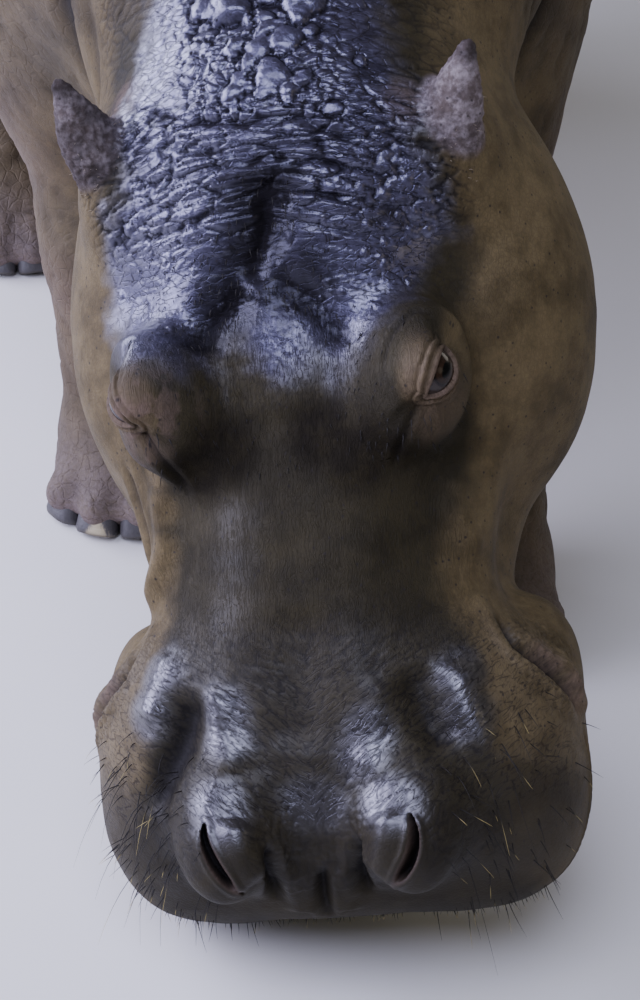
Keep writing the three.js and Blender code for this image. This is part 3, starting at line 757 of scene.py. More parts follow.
def shape_nostrils(q, out):
    """Pushes the skin in along the nostrils' slits; gives the places, their depth, and the slits' rims."""
    q, deep, rim = q.copy(), np.zeros(len(q)), np.zeros(len(q))
    for side, points in SLITS.items():
        ids, away, share = beside(q, curve(on_skin(np.array(points) / 1000), 8), .022)
        width = SLIT["width"] * (.35 + .65 * np.sin(np.pi * np.clip(share, 0, 1)) ** .8)
        hole = ease(1.0, .45, away / width) * ease(-.01, .12, share) * ease(1.01, .84, share)
        inward = unit(np.array((side * SLIT["under"] / SLIT["depth"], .25, -1.0)))
        q[ids] += hole[:, None] * SLIT["depth"] * inward
        lip = np.exp(-((away - 1.6 * width) / .003) ** 2) * ease(0, .15, share) * ease(1, .85, share)
        q[ids] += out[ids] * (.0022 * lip * (1 - hole))[:, None]
        deep[ids] = np.maximum(deep[ids], hole)
        ends = ease(0, .1, share) * ease(1, .9, share)
        rim[ids] = np.maximum(rim[ids], .6 * ease(1.5, 1.0, away / width) * ends)
    return q, deep, rim


# ---------- the skin's mesh ----------

def skin_nets(low, high, cell, block=8):
    """A surface net over the cells that the skin passes through: vertices and triangles."""
    low = np.array(low)
    count = np.ceil((np.array(high) - low) / (cell * block)).astype(int)
    ids = np.stack(np.meshgrid(*[np.arange(k) for k in count], indexing="ij"), -1).reshape(-1, 3)
    middle = at_once(body_field, low + (ids + .5) * cell * block)
    crossed = np.abs(middle) < 1.2 * cell * block + .03
    local = np.stack(np.meshgrid(*[np.arange(block + 1)] * 3, indexing="ij"), -1).reshape(-1, 3)
    size = count * block + 1
    grid = np.unique(((ids[crossed] * block)[:, None] + local[None]).reshape(-1, 3)
                     @ np.array((size[1] * size[2], size[2], 1)))
    xyz = np.stack(np.unravel_index(grid, size), 1)
    inner = np.repeat(np.repeat(np.repeat((middle < 0).reshape(count), block, 0), block, 1), block, 2)
    value = np.ones(size, np.float32)
    value[:-1, :-1, :-1][inner] = -1
    value.reshape(-1)[grid] = at_once(body_field, low + xyz * cell)
    inside = value < 0
    cells = size - 1

    def corner(a):
        return inside[a[0]:a[0] + cells[0], a[1]:a[1] + cells[1], a[2]:a[2] + cells[2]]

    corners = [(i, j, k) for i in (0, 1) for j in (0, 1) for k in (0, 1)]
    full = sum(corner(a).astype(np.int8) for a in corners)
    on = (full > 0) & (full < 8)
    place = np.argwhere(on)
    total, hits = np.zeros((len(place), 3)), np.zeros(len(place))
    for a in corners:
        for axis in range(3):
            if a[axis]:
                continue
            b = np.array(a) + np.eye(3, dtype=int)[axis]
            va, vb = value[tuple((place + a).T)], value[tuple((place + b).T)]
            cut = (va < 0) != (vb < 0)
            t = np.where(cut, va / np.where(cut, va - vb, 1), 0)
            total += np.where(cut[:, None], np.array(a) + t[:, None] * np.eye(3)[axis], 0)
            hits += cut
    index = np.full(cells, -1)
    index[on] = np.arange(len(place))
    vertices = low + cell * (place + total / hits[:, None])
    quads = []
    for axis in range(3):
        e, g = (axis + 1) % 3, (axis + 2) % 3
        first = [slice(1, cells[i]) for i in range(3)]
        first[axis] = slice(0, cells[axis])
        second = list(first)
        second[axis] = slice(1, cells[axis] + 1)
        a, b = inside[tuple(first)], inside[tuple(second)]
        found = np.argwhere(a != b) + [0 if i == axis else 1 for i in range(3)]
        around = []
        for de, dg in ((0, 0), (1, 0), (1, 1), (0, 1)):
            step = found.copy()
            step[:, e] -= de
            step[:, g] -= dg
            around.append(index[tuple(step.T)])
        quad = np.stack(around, 1)
        flip = ~a[a != b]
        quad[flip] = quad[flip][:, ::-1]
        quads.append(quad)
    quads = np.concatenate(quads)
    return vertices, np.concatenate((quads[:, [0, 1, 2]], quads[:, [0, 2, 3]]))


def normals_of(vertices, triangles):
    a, b, c = (vertices[triangles[:, i]] for i in range(3))
    face = np.cross(b - a, c - a)
    total = np.stack([sum(np.bincount(triangles[:, i], face[:, k], len(vertices)) for i in range(3))
                      for k in range(3)], 1)
    return unit(total + 1e-15)


def refined(vertices, normals, triangles, wanted, rounds):
    """Splits edges longer than wanted(points) at their middles, which settle on the skin."""
    for _ in range(rounds):
        n = len(vertices)
        pairs = np.sort(triangles[:, [0, 1, 1, 2, 2, 0]].reshape(-1, 2), axis=1)
        key, inverse = np.unique(pairs[:, 0] * n + pairs[:, 1], return_inverse=True)
        a, b = key // n, key % n
        length = np.linalg.norm(vertices[a] - vertices[b], axis=1)
        middle = (vertices[a] + vertices[b]) / 2
        mark = length > 1.4 * at_once(wanted, middle)
        if not mark.any():
            break
        sides = inverse.reshape(-1, 3)
        longest = length[sides].argmax(1)
        while True:
            touched = mark[sides].any(1)
            extra = sides[touched, longest[touched]]
            extra = extra[~mark[extra]]
            if not len(extra):
                break
            mark[extra] = True
        new = np.full(len(key), -1)
        new[mark] = n + np.arange(mark.sum())
        out = unit(normals[a[mark]] + normals[b[mark]] + 1e-12)
        place = middle[mark]
        for _ in range(2):
            place = place - out * at_once(body_field, place)[:, None]
        vertices, normals = np.concatenate((vertices, place)), np.concatenate((normals, out))
        turn = (longest[:, None] + np.arange(3)) % 3
        corner = np.take_along_axis(triangles, turn, 1)
        m = new[np.take_along_axis(sides, turn, 1)]
        split = m[:, 0] >= 0
        keep = triangles[~split]
        (p, q, r), (pq, qr, rp) = corner[split].T, m[split].T
        pieces = [keep]
        for halfway, first, last in ((qr, q, r), (rp, r, p)):
            has = halfway >= 0
            pieces += [np.stack((pq, first, last), 1)[~has], np.stack((pq, first, halfway), 1)[has],
                       np.stack((pq, halfway, last), 1)[has]]
        triangles = np.concatenate(pieces)
    return vertices, normals, triangles


NOSTRIL_MIDDLE = (.078, .066, .02)
COARSER_EDGES, COARSER_CELLS = ((1.0, 1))
# How long the skin's edges are in each region, in metres.
EDGES = dict(body=.013, head=.0046, seen=.003, nape=.0019, muzzle=.0021, eye=.001, nostril=.0014, ear=.0019,
             foot=.006)
LOW, HIGH, CELL, SPLITS = (-.84, -1.24, -.03), (.42, 1.56, 1.41), .009, 9


def wanted_length(points):
    """How long the skin's edges are at these points, in metres."""
    q = HEAD.inside(points)
    x, y, z = q.T
    side = np.abs(x)
    on_head = ease(.86, .74, y) * ease(-.55, -.4, z)
    nape = ease(.96, .91, y) * ease(.48, .54, y) * ease(-.17, -.12, z) * ease(.2, .16, side)
    muzzle = ease(.32, .27, y) * ease(-.12, -.07, z) * ease(.19, .15, side) * ease(-.02, .02, y)
    regions = [("head", on_head), ("seen", on_head * ease(-.26, -.12, z)), ("nape", nape), ("muzzle", muzzle)]
    for name, place, radius in (("eye", EYE["place"], .036), ("nostril", NOSTRIL_MIDDLE, .048)):
        away = np.linalg.norm(mirrored(q) - place, axis=1)
        regions.append((name, ease(radius + .02, radius, away)))
    for root in EAR_ROOTS:
        away = np.linalg.norm(q - (root * (1.1, 1, 1) + (0, .04, .035)), axis=1)
        regions.append(("ear", ease(.08, .065, away)))
    length = EDGES["body"]
    for name, share in regions:
        length = length + (EDGES[name] - length) * share
    for leg in LEGS:
        away = np.linalg.norm(points - (*leg["foot"], .04), axis=1)
        length = np.where(away < .16, np.minimum(length, EDGES["foot"]), length)
    return length * COARSER_EDGES


vertices, triangles = skin_nets(LOW, HIGH, CELL * COARSER_CELLS)
for _ in range(2):
    out = slope(vertices)
    vertices = vertices - out * at_once(body_field, vertices)[:, None]
vertices, normals, triangles = refined(vertices, slope(vertices), triangles, wanted_length, SPLITS)
normals = normals_of(vertices, triangles)


# ---------- where the row frame lies ----------

SHIFT = Vector((0, 0, 0))
for side, name in ((1, "eye_left"), (-1, "eye_right")):
    low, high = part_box(name)
    SHIFT += ((low + high) / 2 - Vector(HEAD.outside(np.array(EYE["place"]) * (side, 1, 1)))) / 2
SHIFT = np.array(SHIFT)


def add_mesh(name, vertices, triangles):
    mesh = bpy.data.meshes.new(name)
    mesh.vertices.add(len(vertices))
    mesh.vertices.foreach_set("co", np.ascontiguousarray(vertices, np.float32).ravel())
    mesh.loops.add(triangles.size)
    mesh.loops.foreach_set("vertex_index", np.ascontiguousarray(triangles, np.int32).ravel())
    mesh.polygons.add(len(triangles))
    mesh.polygons.foreach_set("loop_start", np.arange(0, triangles.size, 3, dtype=np.int32))
    mesh.update(calc_edges=True)
    mesh.polygons.foreach_set("use_smooth", np.ones(len(triangles), bool))
    mesh.validate()
    thing = bpy.data.objects.new(name, mesh)
    bpy.context.scene.collection.objects.link(thing)
    return thing


def add_layer(thing, name, values):
    """Three numbers for each vertex, for the material to read."""
    layer = thing.data.attributes.new(name, "FLOAT_VECTOR", "POINT")
    layer.data.foreach_set("vector", np.ascontiguousarray(values, np.float32).ravel())


def tube_faces(levels, around, closed=True):
    """The faces of a tube of rings with a tip after them, and with a middle for its first end if closed."""
    i, j = np.meshgrid(np.arange(levels - 1), np.arange(around), indexing="ij")
    a, b = (i * around + j).ravel(), (i * around + (j + 1) % around).ravel()
    faces = [np.stack((a, b, a + around), 1), np.stack((b, b + around, a + around), 1)]
    j, last, tip = np.arange(around), (levels - 1) * around, levels * around + closed
    if closed:
        faces.append(np.stack(((j + 1) % around, j, np.full(around, tip - 1)), 1))
    faces.append(np.stack((last + j, last + (j + 1) % around, np.full(around, tip)), 1))
    return np.concatenate(faces)


# ---------- the skin's colours ----------

def near_any(q, places, radius):
    """1 at any of these places, falling to 0 at radius; all in millimetres but q."""
    value = np.zeros(len(q))
    for place in np.array(places) / 1000:
        away = np.linalg.norm(q - place, axis=1)
        value = np.maximum(value, ease(radius / 1000, radius / 1000 * .35, away))
    return value


# How far the wet skin of the crown and nape reaches to each side, along the head.
WET_RIGHT = ((.44, .5, .563, .625, .672, .72, .76, .79, .82, .9),
             (.06, .135, .17, .165, .142, .136, .125, .112, .1, .094))
WET_LEFT = ((.44, .508, .543, .608, .649, .711, .8, .9), (.05, .081, .108, .153, .141, .128, .112, .108))
# Where the dark top of the head ends and its tan side begins, along the head.
TAN_LIMIT = ((0, .1, .2, .28, .34, .42, .5, .58, .66, .76, .86),
             (.17, .165, .14, .118, .125, .15, .158, .16, .158, .146, .15))
BROW_TOP = ((122, 462, 10),)
WET_RIDGES = (
    (-74, 196, -4), (-72, 176, -2), (52, 170, -2), (44, 150, 1), (-135, 235, -30), (-147, 200, -30),
    (131, 215, -26), (136, 180, -22), (-82, 118, 18), (-78, 104, 20), (64, 112, 18), (74, 108, 20),
    (-8, 112, 2), (4, 110, 2),
)
WET_BRIDGE = ((-55, 360, -4), (-58, 330, -6), (-62, 300, -8), (-66, 270, -8))
CHEEK_FOLD = ((-135, 420, -55), (-130, 385, -66), (-131, 345, -70), (-150, 310, -90))
ROSY_SPOTS = ((123, 719, -7), (-134, 758, -33), (208, 225, -90), (222, 190, -120), (-208, 225, -90),
              (-222, 190, -120))
# Places of painted shade below the brows and in the forehead's groove, in millimetres.
BELOW_BROW_SHADE = ((85, 425, -10), (60, 410, -4), (-60, 425, -2), (-85, 415, -12), (30, 430, -4))
GROOVE_SHADE = ((-4, 640, 18), (-12, 600, 9), (-20, 575, 4), (-40, 560, 0), (14, 572, 0))


def skin_zones(points, q, out, edge, deep, rim, shade, knobby):
    """Where the skin is wet, tan, rosy, shaded, streaked, pleated, netted, pale and dark: 0 to 1. Dark is the
    ears' dark tips and blotches, and painted shade in the forehead's groove, below the brows and towards the
    nose end of the muzzle.
    """
    x, y, z = q.T
    side = np.abs(x)
    warp = .036 * (layered(q * 22, 40) - .5) + .012 * (noise(q * 95, 44) - .5)
    warp2 = .05 * (layered(q * 17, 48) - .5)
    top = ease(-.16, -.07, z)
    head_part = ease(.95, .8, y) * ease(-.6, -.45, z)
    brow = near_any(np.stack((side + .4 * warp, y + .4 * warp2, z), 1), BROW_TOP, 60)
    brow_back = ease(.455, .52, y + warp) * ease(.145, .085, side + warp)

    crown = ease(.468, .545, y + warp * 2.4) * ease(1.1, .92, y)
    reach = np.where(x < 0, np.interp(y, *WET_RIGHT), np.interp(y, *WET_LEFT))
    wet = crown * ease(reach + .02, reach - .018, side + 1.4 * warp) * ease(-.17, -.11, z)
    wet = wet * (1 - .85 * brow * (1 - .7 * brow_back))
    on_muzzle = ease(.29, .22, y + warp2) * ease(.02, .05, y)
    wet = np.maximum(wet, on_muzzle * (.13 + .87 * near_any(q, WET_RIDGES, 34)) * top)
    wet = np.maximum(wet, .09 * near_any(q, WET_BRIDGE, 40))

    limit = np.interp(y, *TAN_LIMIT)
    tan = ease(limit - .012, limit + .02, side + warp2) * head_part
    tan = tan * (1 - .75 * ease(.17, .1, y) * ease(-.16, -.06, z))
    tan = np.maximum(tan, (1 - head_part) * .35)
    tan = np.maximum(tan, .75 * brow * ease(.1, .12, side + .5 * warp) * (1 - brow_back))
    tan = np.maximum(tan, near_any(q, CHEEK_FOLD, 30))

    rosy = .32 * brow * ease(.105, .125, side) + .35 * ease(.0055, .001, edge) * (edge < .5)
    rosy = rosy + .55 * brow * ease(.5, .62, layered(q * 60, 90)) * (x < 0)
    rosy = np.maximum(rosy, rim * ease(.9, .3, deep))
    rosy = np.maximum(rosy, near_any(q, ROSY_SPOTS, 30) * .6)
    ear = ear_share(q)
    ear_dark = np.zeros(len(q))
    blotch = ease(.15, .55, layered(q * 40, 92))
    for one in EARS:
        p = ear_frame(one).inside(points)
        near = ear * (np.linalg.norm(p, axis=1) < .15)
        rosy = np.maximum(rosy, .8 * ease(-.004, .01, p[:, 0]) * near)
        tip = ease(.08, .098, p[:, 2])
        ear_dark = np.maximum(ear_dark, near * np.maximum(tip, .85 * (one["side"] < 0) * blotch))
    belly = (1 - head_part) * ease(.62, .42, points[:, 2]) * ease(.25, -.35, out[:, 2])
    rosy = np.clip(np.maximum(rosy, .55 * belly), 0, 1)

    streaked = ease(.56, .5, y) * ease(.2, .27, y) * ease(.19, .15, side) * top
    streaked = np.maximum(streaked, .5 * ease(limit, limit + .03, side) * head_part)
    pleated = crown * ease(.5, .57, y) * ease(-.16, -.1, z) * (1 - .85 * knobby) * (.1 + .9 * wet)
    netted = on_muzzle * ease(.075, .115, y) * top
    pale = (1 - head_part) * ease(.16, .02, points[:, 2])
    # painted shade below the brows and in the forehead's groove
    dark = np.maximum(.9 * near_any(q, BELOW_BROW_SHADE, 48), .95 * near_any(q, GROOVE_SHADE, 60))
    # painted shade: darker towards the nose end of the muzzle
    dark = np.maximum(dark, .45 * ease(.16, .06, y + warp2) * ease(-.24, -.14, z))
    dark = np.maximum(dark, .8 * ear_dark)
    # the first part of zone_b is painted shade: in the hollows and creases, and deep in the nostrils
    return dict(zone_a=(wet, tan, rosy), zone_b=(np.maximum(shade, deep), streaked, pleated),
                zone_c=(netted, pale, dark), zone_d=(ear, head_part, np.zeros(len(q))))


SOLE = .012  # the relief fades out below this height

out_head = normals @ HEAD.axes
place = HEAD.inside(vertices)
moved, eye_edge = shape_lids(place)
height, shade, knobby = relief(place)
calm = ease(.006, .022, np.where(eye_edge > .5, .03, eye_edge))
moved = moved + out_head * (height * calm)[:, None]
moved, deep, rim = shape_nostrils(moved, out_head)
base = vertices
vertices = HEAD.outside(moved)
share = ease(0, SOLE, base[:, 2])
pressed = np.maximum(vertices[:, 2], 0) * share + base[:, 2] * (1 - share)
vertices[:, 2] = np.maximum(np.where(base[:, 2] < SOLE, pressed, vertices[:, 2]), 0)
zones = skin_zones(base, place, normals, eye_edge, deep, rim, shade, knobby)


# ---------- nodes ----------

class Nodes:
    """Short ways to build one material."""

    def __init__(self, name):
        self.material = bpy.data.materials.new(name)
        self.material.use_nodes = True
        self.tree = self.material.node_tree
        self.shader = self.tree.nodes["Principled BSDF"]

    def make(self, kind, **values):
        node = self.tree.nodes.new(kind)
        for key, value in values.items():
            setattr(node, key, value)
        return node

    def join(self, value, socket):
        if isinstance(value, bpy.types.NodeSocket):
            self.tree.links.new(value, socket)
        else:
            socket.default_value = value

    def math(self, operation, *values):
        node = self.make("ShaderNodeMath", operation=operation)
        for value, socket in zip(values, node.inputs):
            self.join(value, socket)
        return node.outputs[0]

    def times(self, a, b):
        return self.math("MULTIPLY", a, b)

    def plus(self, a, b):
        return self.math("ADD", a, b)

    def less(self, a, b):
        return self.math("SUBTRACT", a, b)

    def rest(self, a):
        return self.less(1.0, a)

    def most(self, a, b):
        return self.math("MAXIMUM", a, b)

    def span(self, value, low, high, to_low=0.0, to_high=1.0):
        node = self.make("ShaderNodeMapRange", interpolation_type="SMOOTHSTEP")
        for i, v in enumerate((value, low, high, to_low, to_high)):
            self.join(v, node.inputs[i])
        return node.outputs[0]

    def mix(self, share, a, b):
        node = self.make("ShaderNodeMix", data_type="RGBA")
        for value, socket in zip((share, a, b), (node.inputs[0], node.inputs[6], node.inputs[7])):
            self.join((*value, 1) if isinstance(value, tuple) else value, socket)
        return node.outputs[2]

    def parts(self, name):
        return self.split(self.vector(name))

    def vector(self, name):
        return self.make("ShaderNodeAttribute", attribute_name=name).outputs["Vector"]

    def split(self, vector):
        node = self.make("ShaderNodeSeparateXYZ")
        self.join(vector, node.inputs[0])
        return list(node.outputs)

    def joined(self, *parts):
        node = self.make("ShaderNodeCombineXYZ")
        for value, socket in zip(parts, node.inputs):
            self.join(value, socket)
        return node.outputs[0]

    def scaled(self, vector, scale):
        node = self.make("ShaderNodeMapping")
        self.join(vector, node.inputs["Vector"])
        node.inputs["Scale"].default_value = scale
        return node.outputs[0]

    def noise(self, vector, scale, detail, roughness=.5, output=0):
        node = self.make("ShaderNodeTexNoise")
        self.join(vector, node.inputs["Vector"])
        for key, value in (("Scale", scale), ("Detail", detail), ("Roughness", roughness)):
            node.inputs[key].default_value = value
        return node.outputs[output]

    def cells(self, vector, scale, feature="DISTANCE_TO_EDGE"):
        node = self.make("ShaderNodeTexVoronoi", feature=feature)
        self.join(vector, node.inputs["Vector"])
        node.inputs["Scale"].default_value = scale
        return node.outputs[0]

    def bump(self, height, distance=.001):
        node = self.make("ShaderNodeBump")
        node.inputs["Strength"].default_value = 1.0
        node.inputs["Distance"].default_value = distance
        self.join(height, node.inputs["Height"])
        self.join(node.outputs[0], self.shader.inputs["Normal"])

    def set(self, **values):
        for key, value in values.items():
            self.join(value, self.shader.inputs[key.replace("_", " ")])


# The skin's colours, dark to light where there are two.
OLIVE = ((.021, .017, .0085), (.037, .03, .015))
BROWN = ((.06, .046, .03), (.105, .08, .052))
TAN = ((.08, .058, .026), (.158, .117, .056))
# The wet crown's dark slate, with a lilac cast painted in for the sky's reflection.
SLATE_SKY_SHEEN = ((.018, .016, .025), (.042, .038, .062))
EAR_GREY = ((.08, .062, .068), (.24, .206, .228))
ROSY, WET_MUZZLE, PALE = (.17, .115, .095), (.022, .019, .015), (.2, .16, .165)
# The dark ears' skin, and painted shade in the groove, below the brows and at the muzzle's end.
DARK_AND_SHADE_DRY, DARK_AND_SHADE_WET = (.011, .009, .007), (.012, .011, .013)
# Painted shade in the thin lines of cracks, in small pits and in hollows, in that order.
CRACK_SHADE, PIT_SHADE, HOLLOW_SHADE = (.014, .011, .011), (.02, .016, .015), (.008, .007, .008)
SKY_TINT = (.62, .62, 1.0)
MUZZLE_CELLS, CROWN_CELLS, BODY_CELLS = (62.0, 215.0), (58, 200, 120), (62, 62, 62)


def skin_material():
    n = Nodes("skin")
    wet, tan, rosy = n.parts("zone_a")
    shade, streaked, pleated = n.parts("zone_b")
    netted, pale, dark = n.parts("zone_c")
    ear, head, _ = n.parts("zone_d")
    place = n.vector("place")
    body = n.rest(head)
    drawn = n.most(pleated, netted)

    # relief, in millimetres
    wander = n.make("ShaderNodeVectorMath", operation="MULTIPLY_ADD")
    n.join(n.noise(place, 60, 1, output="Color"), wander.inputs[0])
    wander.inputs[1].default_value = (.007, .007, .007)
    n.join(place, wander.inputs[2])
    bent = wander.outputs[0]
    x, y, z = n.split(bent)
    # one set of cells: fanned on the muzzle, drawn out across the crown, wide on the body
    fan = n.less(y, n.times(n.math("ABSOLUTE", x), .75))
    slant = n.joined(n.times(x, MUZZLE_CELLS[0]), n.times(fan, MUZZLE_CELLS[1]), n.times(z, MUZZLE_CELLS[0]))
    where_crown = n.math("GREATER_THAN", y, .4)
    grid = n.mix(where_crown, slant, n.scaled(bent, CROWN_CELLS))
    grid = n.mix(n.math("LESS_THAN", head, .5), grid, n.scaled(bent, BODY_CELLS))
    speck = n.noise(place, 170, 3, .65)
    gaps = n.times(n.span(speck, .49, .57), n.span(y, .7, .56, .35, 1.0))
    plate = n.most(n.span(n.cells(grid, 1), 0, .11), gaps)
    crack = n.span(n.cells(bent, 215), 0, .2)
    streaks = n.noise(n.scaled(bent, (430, 26, 430)), 1, 2, .62)
    streak = n.span(n.math("ABSOLUTE", n.less(streaks, .5)), 0, .055)
    grain = n.noise(place, 900, 2, .6)
    height = n.plus(n.times(crack, n.less(.13, n.plus(n.times(ear, .08), n.times(drawn, .09)))),
                    n.times(grain, n.less(.16, n.times(wet, .12))))
    for amount, mask, value in ((.35, streaked, streak), (.45, streaked, streaks), (.34, pleated, plate),
                                (.2, netted, plate), (.6, body, plate)):
        height = n.plus(height, n.times(n.times(value, mask), amount))
    n.bump(height)

    # colour
    cloud = n.noise(place, 14, 4, .6)
    mottle = n.noise(place, 48, 4, .65)
    lines = n.times(drawn, n.rest(plate))
    dry_streaks = n.times(streaked, n.rest(streak))
    base = n.mix(body, n.mix(n.span(cloud, .35, .65), *OLIVE), n.mix(n.span(cloud, .3, .7), *BROWN))
    clouded = n.span(n.plus(n.times(cloud, .6), n.times(mottle, .4)), .35, .62)
    base = n.mix(n.times(tan, n.span(speck, .2, .8, .75, 1.0)), base, n.mix(clouded, *TAN))
    base = n.mix(n.times(rosy, n.span(speck, .25, .75, .55, .95)), base, ROSY)
    # the wet crown: slate with a painted lilac reflection of the sky; the wet muzzle darker
    base = n.mix(n.times(wet, n.less(.95, n.times(rosy, .6))), base,
                 n.mix(where_crown, WET_MUZZLE, n.mix(n.span(speck, .3, .7), *SLATE_SKY_SHEEN)))
    spotted = n.span(n.plus(n.times(mottle, .5), n.times(speck, .5)), .4, .62)
    base = n.mix(n.times(ear, .75), base, n.mix(spotted, *EAR_GREY))
    # dark ear skin, and painted shade in the groove, below the brows and at the muzzle's end
    base = n.mix(n.times(dark, n.span(mottle, .3, .6, .5, .95)), base, n.mix(wet, DARK_AND_SHADE_DRY, DARK_AND_SHADE_WET))
    base = n.mix(n.times(pale, n.span(speck, .2, .8, .2, .7)), base, PALE)
    # painted shade in the cracks, the pleat lines and the streaks' lines
    cuts = n.math("MINIMUM", n.most(crack, drawn), n.rest(n.most(dry_streaks, lines)))
    line_shading = n.times(n.plus(.12, n.times(drawn, .48)), n.rest(n.times(ear, .8)))
    base = n.mix(n.times(n.span(cuts, 0, 1, 1.0, 0.0), line_shading), base, CRACK_SHADE)
    # painted shade in small pits over the head
    pits = n.span(n.cells(place, 95, "F1"), .06, .17, .85, 0.0)
    base = n.mix(n.times(pits, head), base, PIT_SHADE)
    # painted shade in the hollows, creases and nostrils
    base = n.mix(n.times(shade, .88), base, HOLLOW_SHADE)

    # gloss
    damp = n.times(wet, n.span(mottle, .3, .62, .55, 1.0))
    hollow = n.most(n.most(shade, n.times(dark, .85)), n.most(n.times(lines, .85), dry_streaks))
    shine = n.times(damp, n.rest(hollow))
    n.set(Base_Color=base,
          Roughness=n.plus(n.less(.62, n.times(damp, .31)), n.times(n.less(speck, .5), .16)),
          Specular_IOR_Level=n.plus(n.less(.1, n.times(dark, .08)), n.times(shine, .9)),
          Specular_Tint=n.mix(n.times(wet, n.plus(.4, n.times(where_crown, .6))), (1.0, 1.0, 1.0), SKY_TINT),
          IOR=1.6, Coat_Weight=n.times(shine, .6), Coat_Roughness=.22, Coat_IOR=1.7)
    return n.material


skin = add_mesh("skin", vertices + SHIFT, triangles)
for name, columns in (*zones.items(), ("place", place.T)):
    add_layer(skin, name, np.stack(columns, 1))
skin.data.materials.append(skin_material())
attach(skin, "root")
FLESH = [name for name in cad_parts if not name.startswith(("eye", "nail"))]
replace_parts(skin, *FLESH)


# ---------- the eyes ----------

# Half the length and half the width, in metres.
IRIS, PUPIL = (.014, .0128), (.0082, .005)


def eye_material():
    n = Nodes("eye")
    local = n.make("ShaderNodeTexCoord").outputs["Object"]
    x, y, _ = n.split(local)

    def ring(half_long, half_wide):
        a, b = n.math("DIVIDE", x, half_long), n.math("DIVIDE", y, half_wide)
        return n.math("SQRT", n.plus(n.times(a, a), n.times(b, b)))

    grain = n.noise(local, 420, 3, .6)
    white = n.mix(grain, (.022, .016, .013), (.05, .036, .03))
    iris = n.mix(grain, (.01, .006, .004), (.034, .018, .01))
    edge = n.plus(ring(*IRIS), n.times(n.less(grain, .5), .06))
    colour = n.mix(n.span(edge, .94, 1.05), iris, white)
    colour = n.mix(n.times(n.span(edge, .8, .97), n.span(edge, 1.1, .97)), colour, (.008, .005, .004))
    colour = n.mix(n.span(ring(*PUPIL), 1.0, .86), colour, (.002, .002, .002))
    n.set(Base_Color=colour, Roughness=.22, Coat_Weight=.22, Coat_Roughness=.04, Specular_IOR_Level=.15)
    n.bump(n.span(edge, 1.25, .2), .0006)
    return n.material


def add_eye(name, side, material):
    around, rings = 48, 32
    polar = np.linspace(0, np.pi, rings + 1)[1:-1]
    turn = np.linspace(0, 2 * np.pi, around, endpoint=False)
    p, t = np.meshgrid(polar, turn, indexing="ij")
    ball = np.stack((np.sin(p) * np.cos(t), np.sin(p) * np.sin(t), np.cos(p)), -1).reshape(-1, 3)
    ball = np.concatenate((ball, ((0, 0, 1), (0, 0, -1)))) * EYE["radius"]
    thing = add_mesh(name, ball, tube_faces(rings - 1, around)[:, [0, 2, 1]])
    out, slit, upper = eye_axes(side)
    out, slit, upper = (HEAD.axes @ v for v in (out, slit, upper))
    if np.dot(np.cross(slit, upper), out) < 0:
        upper = -upper
    centre = HEAD.outside(np.array(EYE["place"]) * (side, 1, 1)) + SHIFT
    matrix = Matrix(np.column_stack((slit, upper, out)).tolist()).to_4x4()
    matrix.translation = Vector(centre)
    thing.matrix_world = matrix
    thing.data.materials.append(material)
    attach(thing, "root")
    return thing


shine = eye_material()
for side, name in ((1, "eye_left"), (-1, "eye_right")):
    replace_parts(add_eye(name + "_ball", side, shine), name)


# ---------- the nails ----------

NAIL = dict(beyond=.027, foot=.004, height=.05, half_width=.027, half_depth=.02, square=2.6, lean=20)


def nail_material():
    n = Nodes("nail")
    height, across, tone = n.parts("nail")
    place = n.vector("place")
    growth = n.noise(n.scaled(place, (420, 420, 40)), 1, 3, .6)
    rings = n.noise(n.scaled(place, (30, 30, 520)), 1, 2, .6)
    colour = n.mix(growth, (.03, .028, .032), (.085, .078, .078))
    edge = n.plus(n.plus(height, n.times(n.less(growth, .5), .6)), n.times(n.math("ABSOLUTE", across), .95))
    cream = n.times(n.span(edge, .7, .35), tone)
    colour = n.mix(cream, colour, n.mix(rings, (.4, .33, .19), (.56, .49, .33)))
    colour = n.mix(n.span(height, .1, 0, 0.0, .7), colour, (.05, .04, .03))
    n.set(Base_Color=colour, Roughness=n.span(growth, .2, .8, .34, .58))
    n.bump(n.plus(n.times(growth, .5), n.times(rings, .5)))
    return n.material


def add_nail(name, leg, toe, tone, material):
    around, levels = 40, 22
    level = np.linspace(0, 1, levels)
    turn = np.linspace(0, 2 * np.pi, around, endpoint=False)
    h, t = np.meshgrid(level, turn, indexing="ij")
    narrow = (1 - .3 * h ** 1.5) * np.sqrt(np.clip(1 - np.clip((h - .72) / .3, 0, 1) ** 2.4, .02, 1))
    narrow = narrow * (.93 + .07 * ease(0, .1, h))
    round_x, round_y = (np.sign(v) * np.abs(v) ** (2 / NAIL["square"]) for v in (np.cos(t), np.sin(t)))
    points = np.stack((round_x * NAIL["half_width"] * narrow, round_y * NAIL["half_depth"] * narrow,
                       h * NAIL["height"] * .985), -1).reshape(-1, 3)
    points = np.concatenate((points, ((0, 0, 0), (0, 0, NAIL["height"] * .992))))
    points = points @ turning(pitch=-NAIL["lean"]).T + (0, -NAIL["beyond"], NAIL["foot"] - TOES["height"])
    world = foot_frame(leg).outside(toe.outside(points))
    world = world + uneven(world)
    world[:, 2] = np.maximum(world[:, 2], 0)
    thing = add_mesh(name, world + SHIFT, tube_faces(levels, around))
    heights = np.concatenate((h.ravel(), (0, 1)))
    across = points[:, 0] / NAIL["half_width"] - .3
    add_layer(thing, "nail", np.stack((heights, across, np.full(len(points), tone)), 1))
    add_layer(thing, "place", points)
    thing.data.materials.append(material)
    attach(thing, "root")
    return thing


def uneven(world):
    """A slight unevenness of the horn."""
    return .0012 * wobble(world * 60, (60, 61, 62))


horn = nail_material()
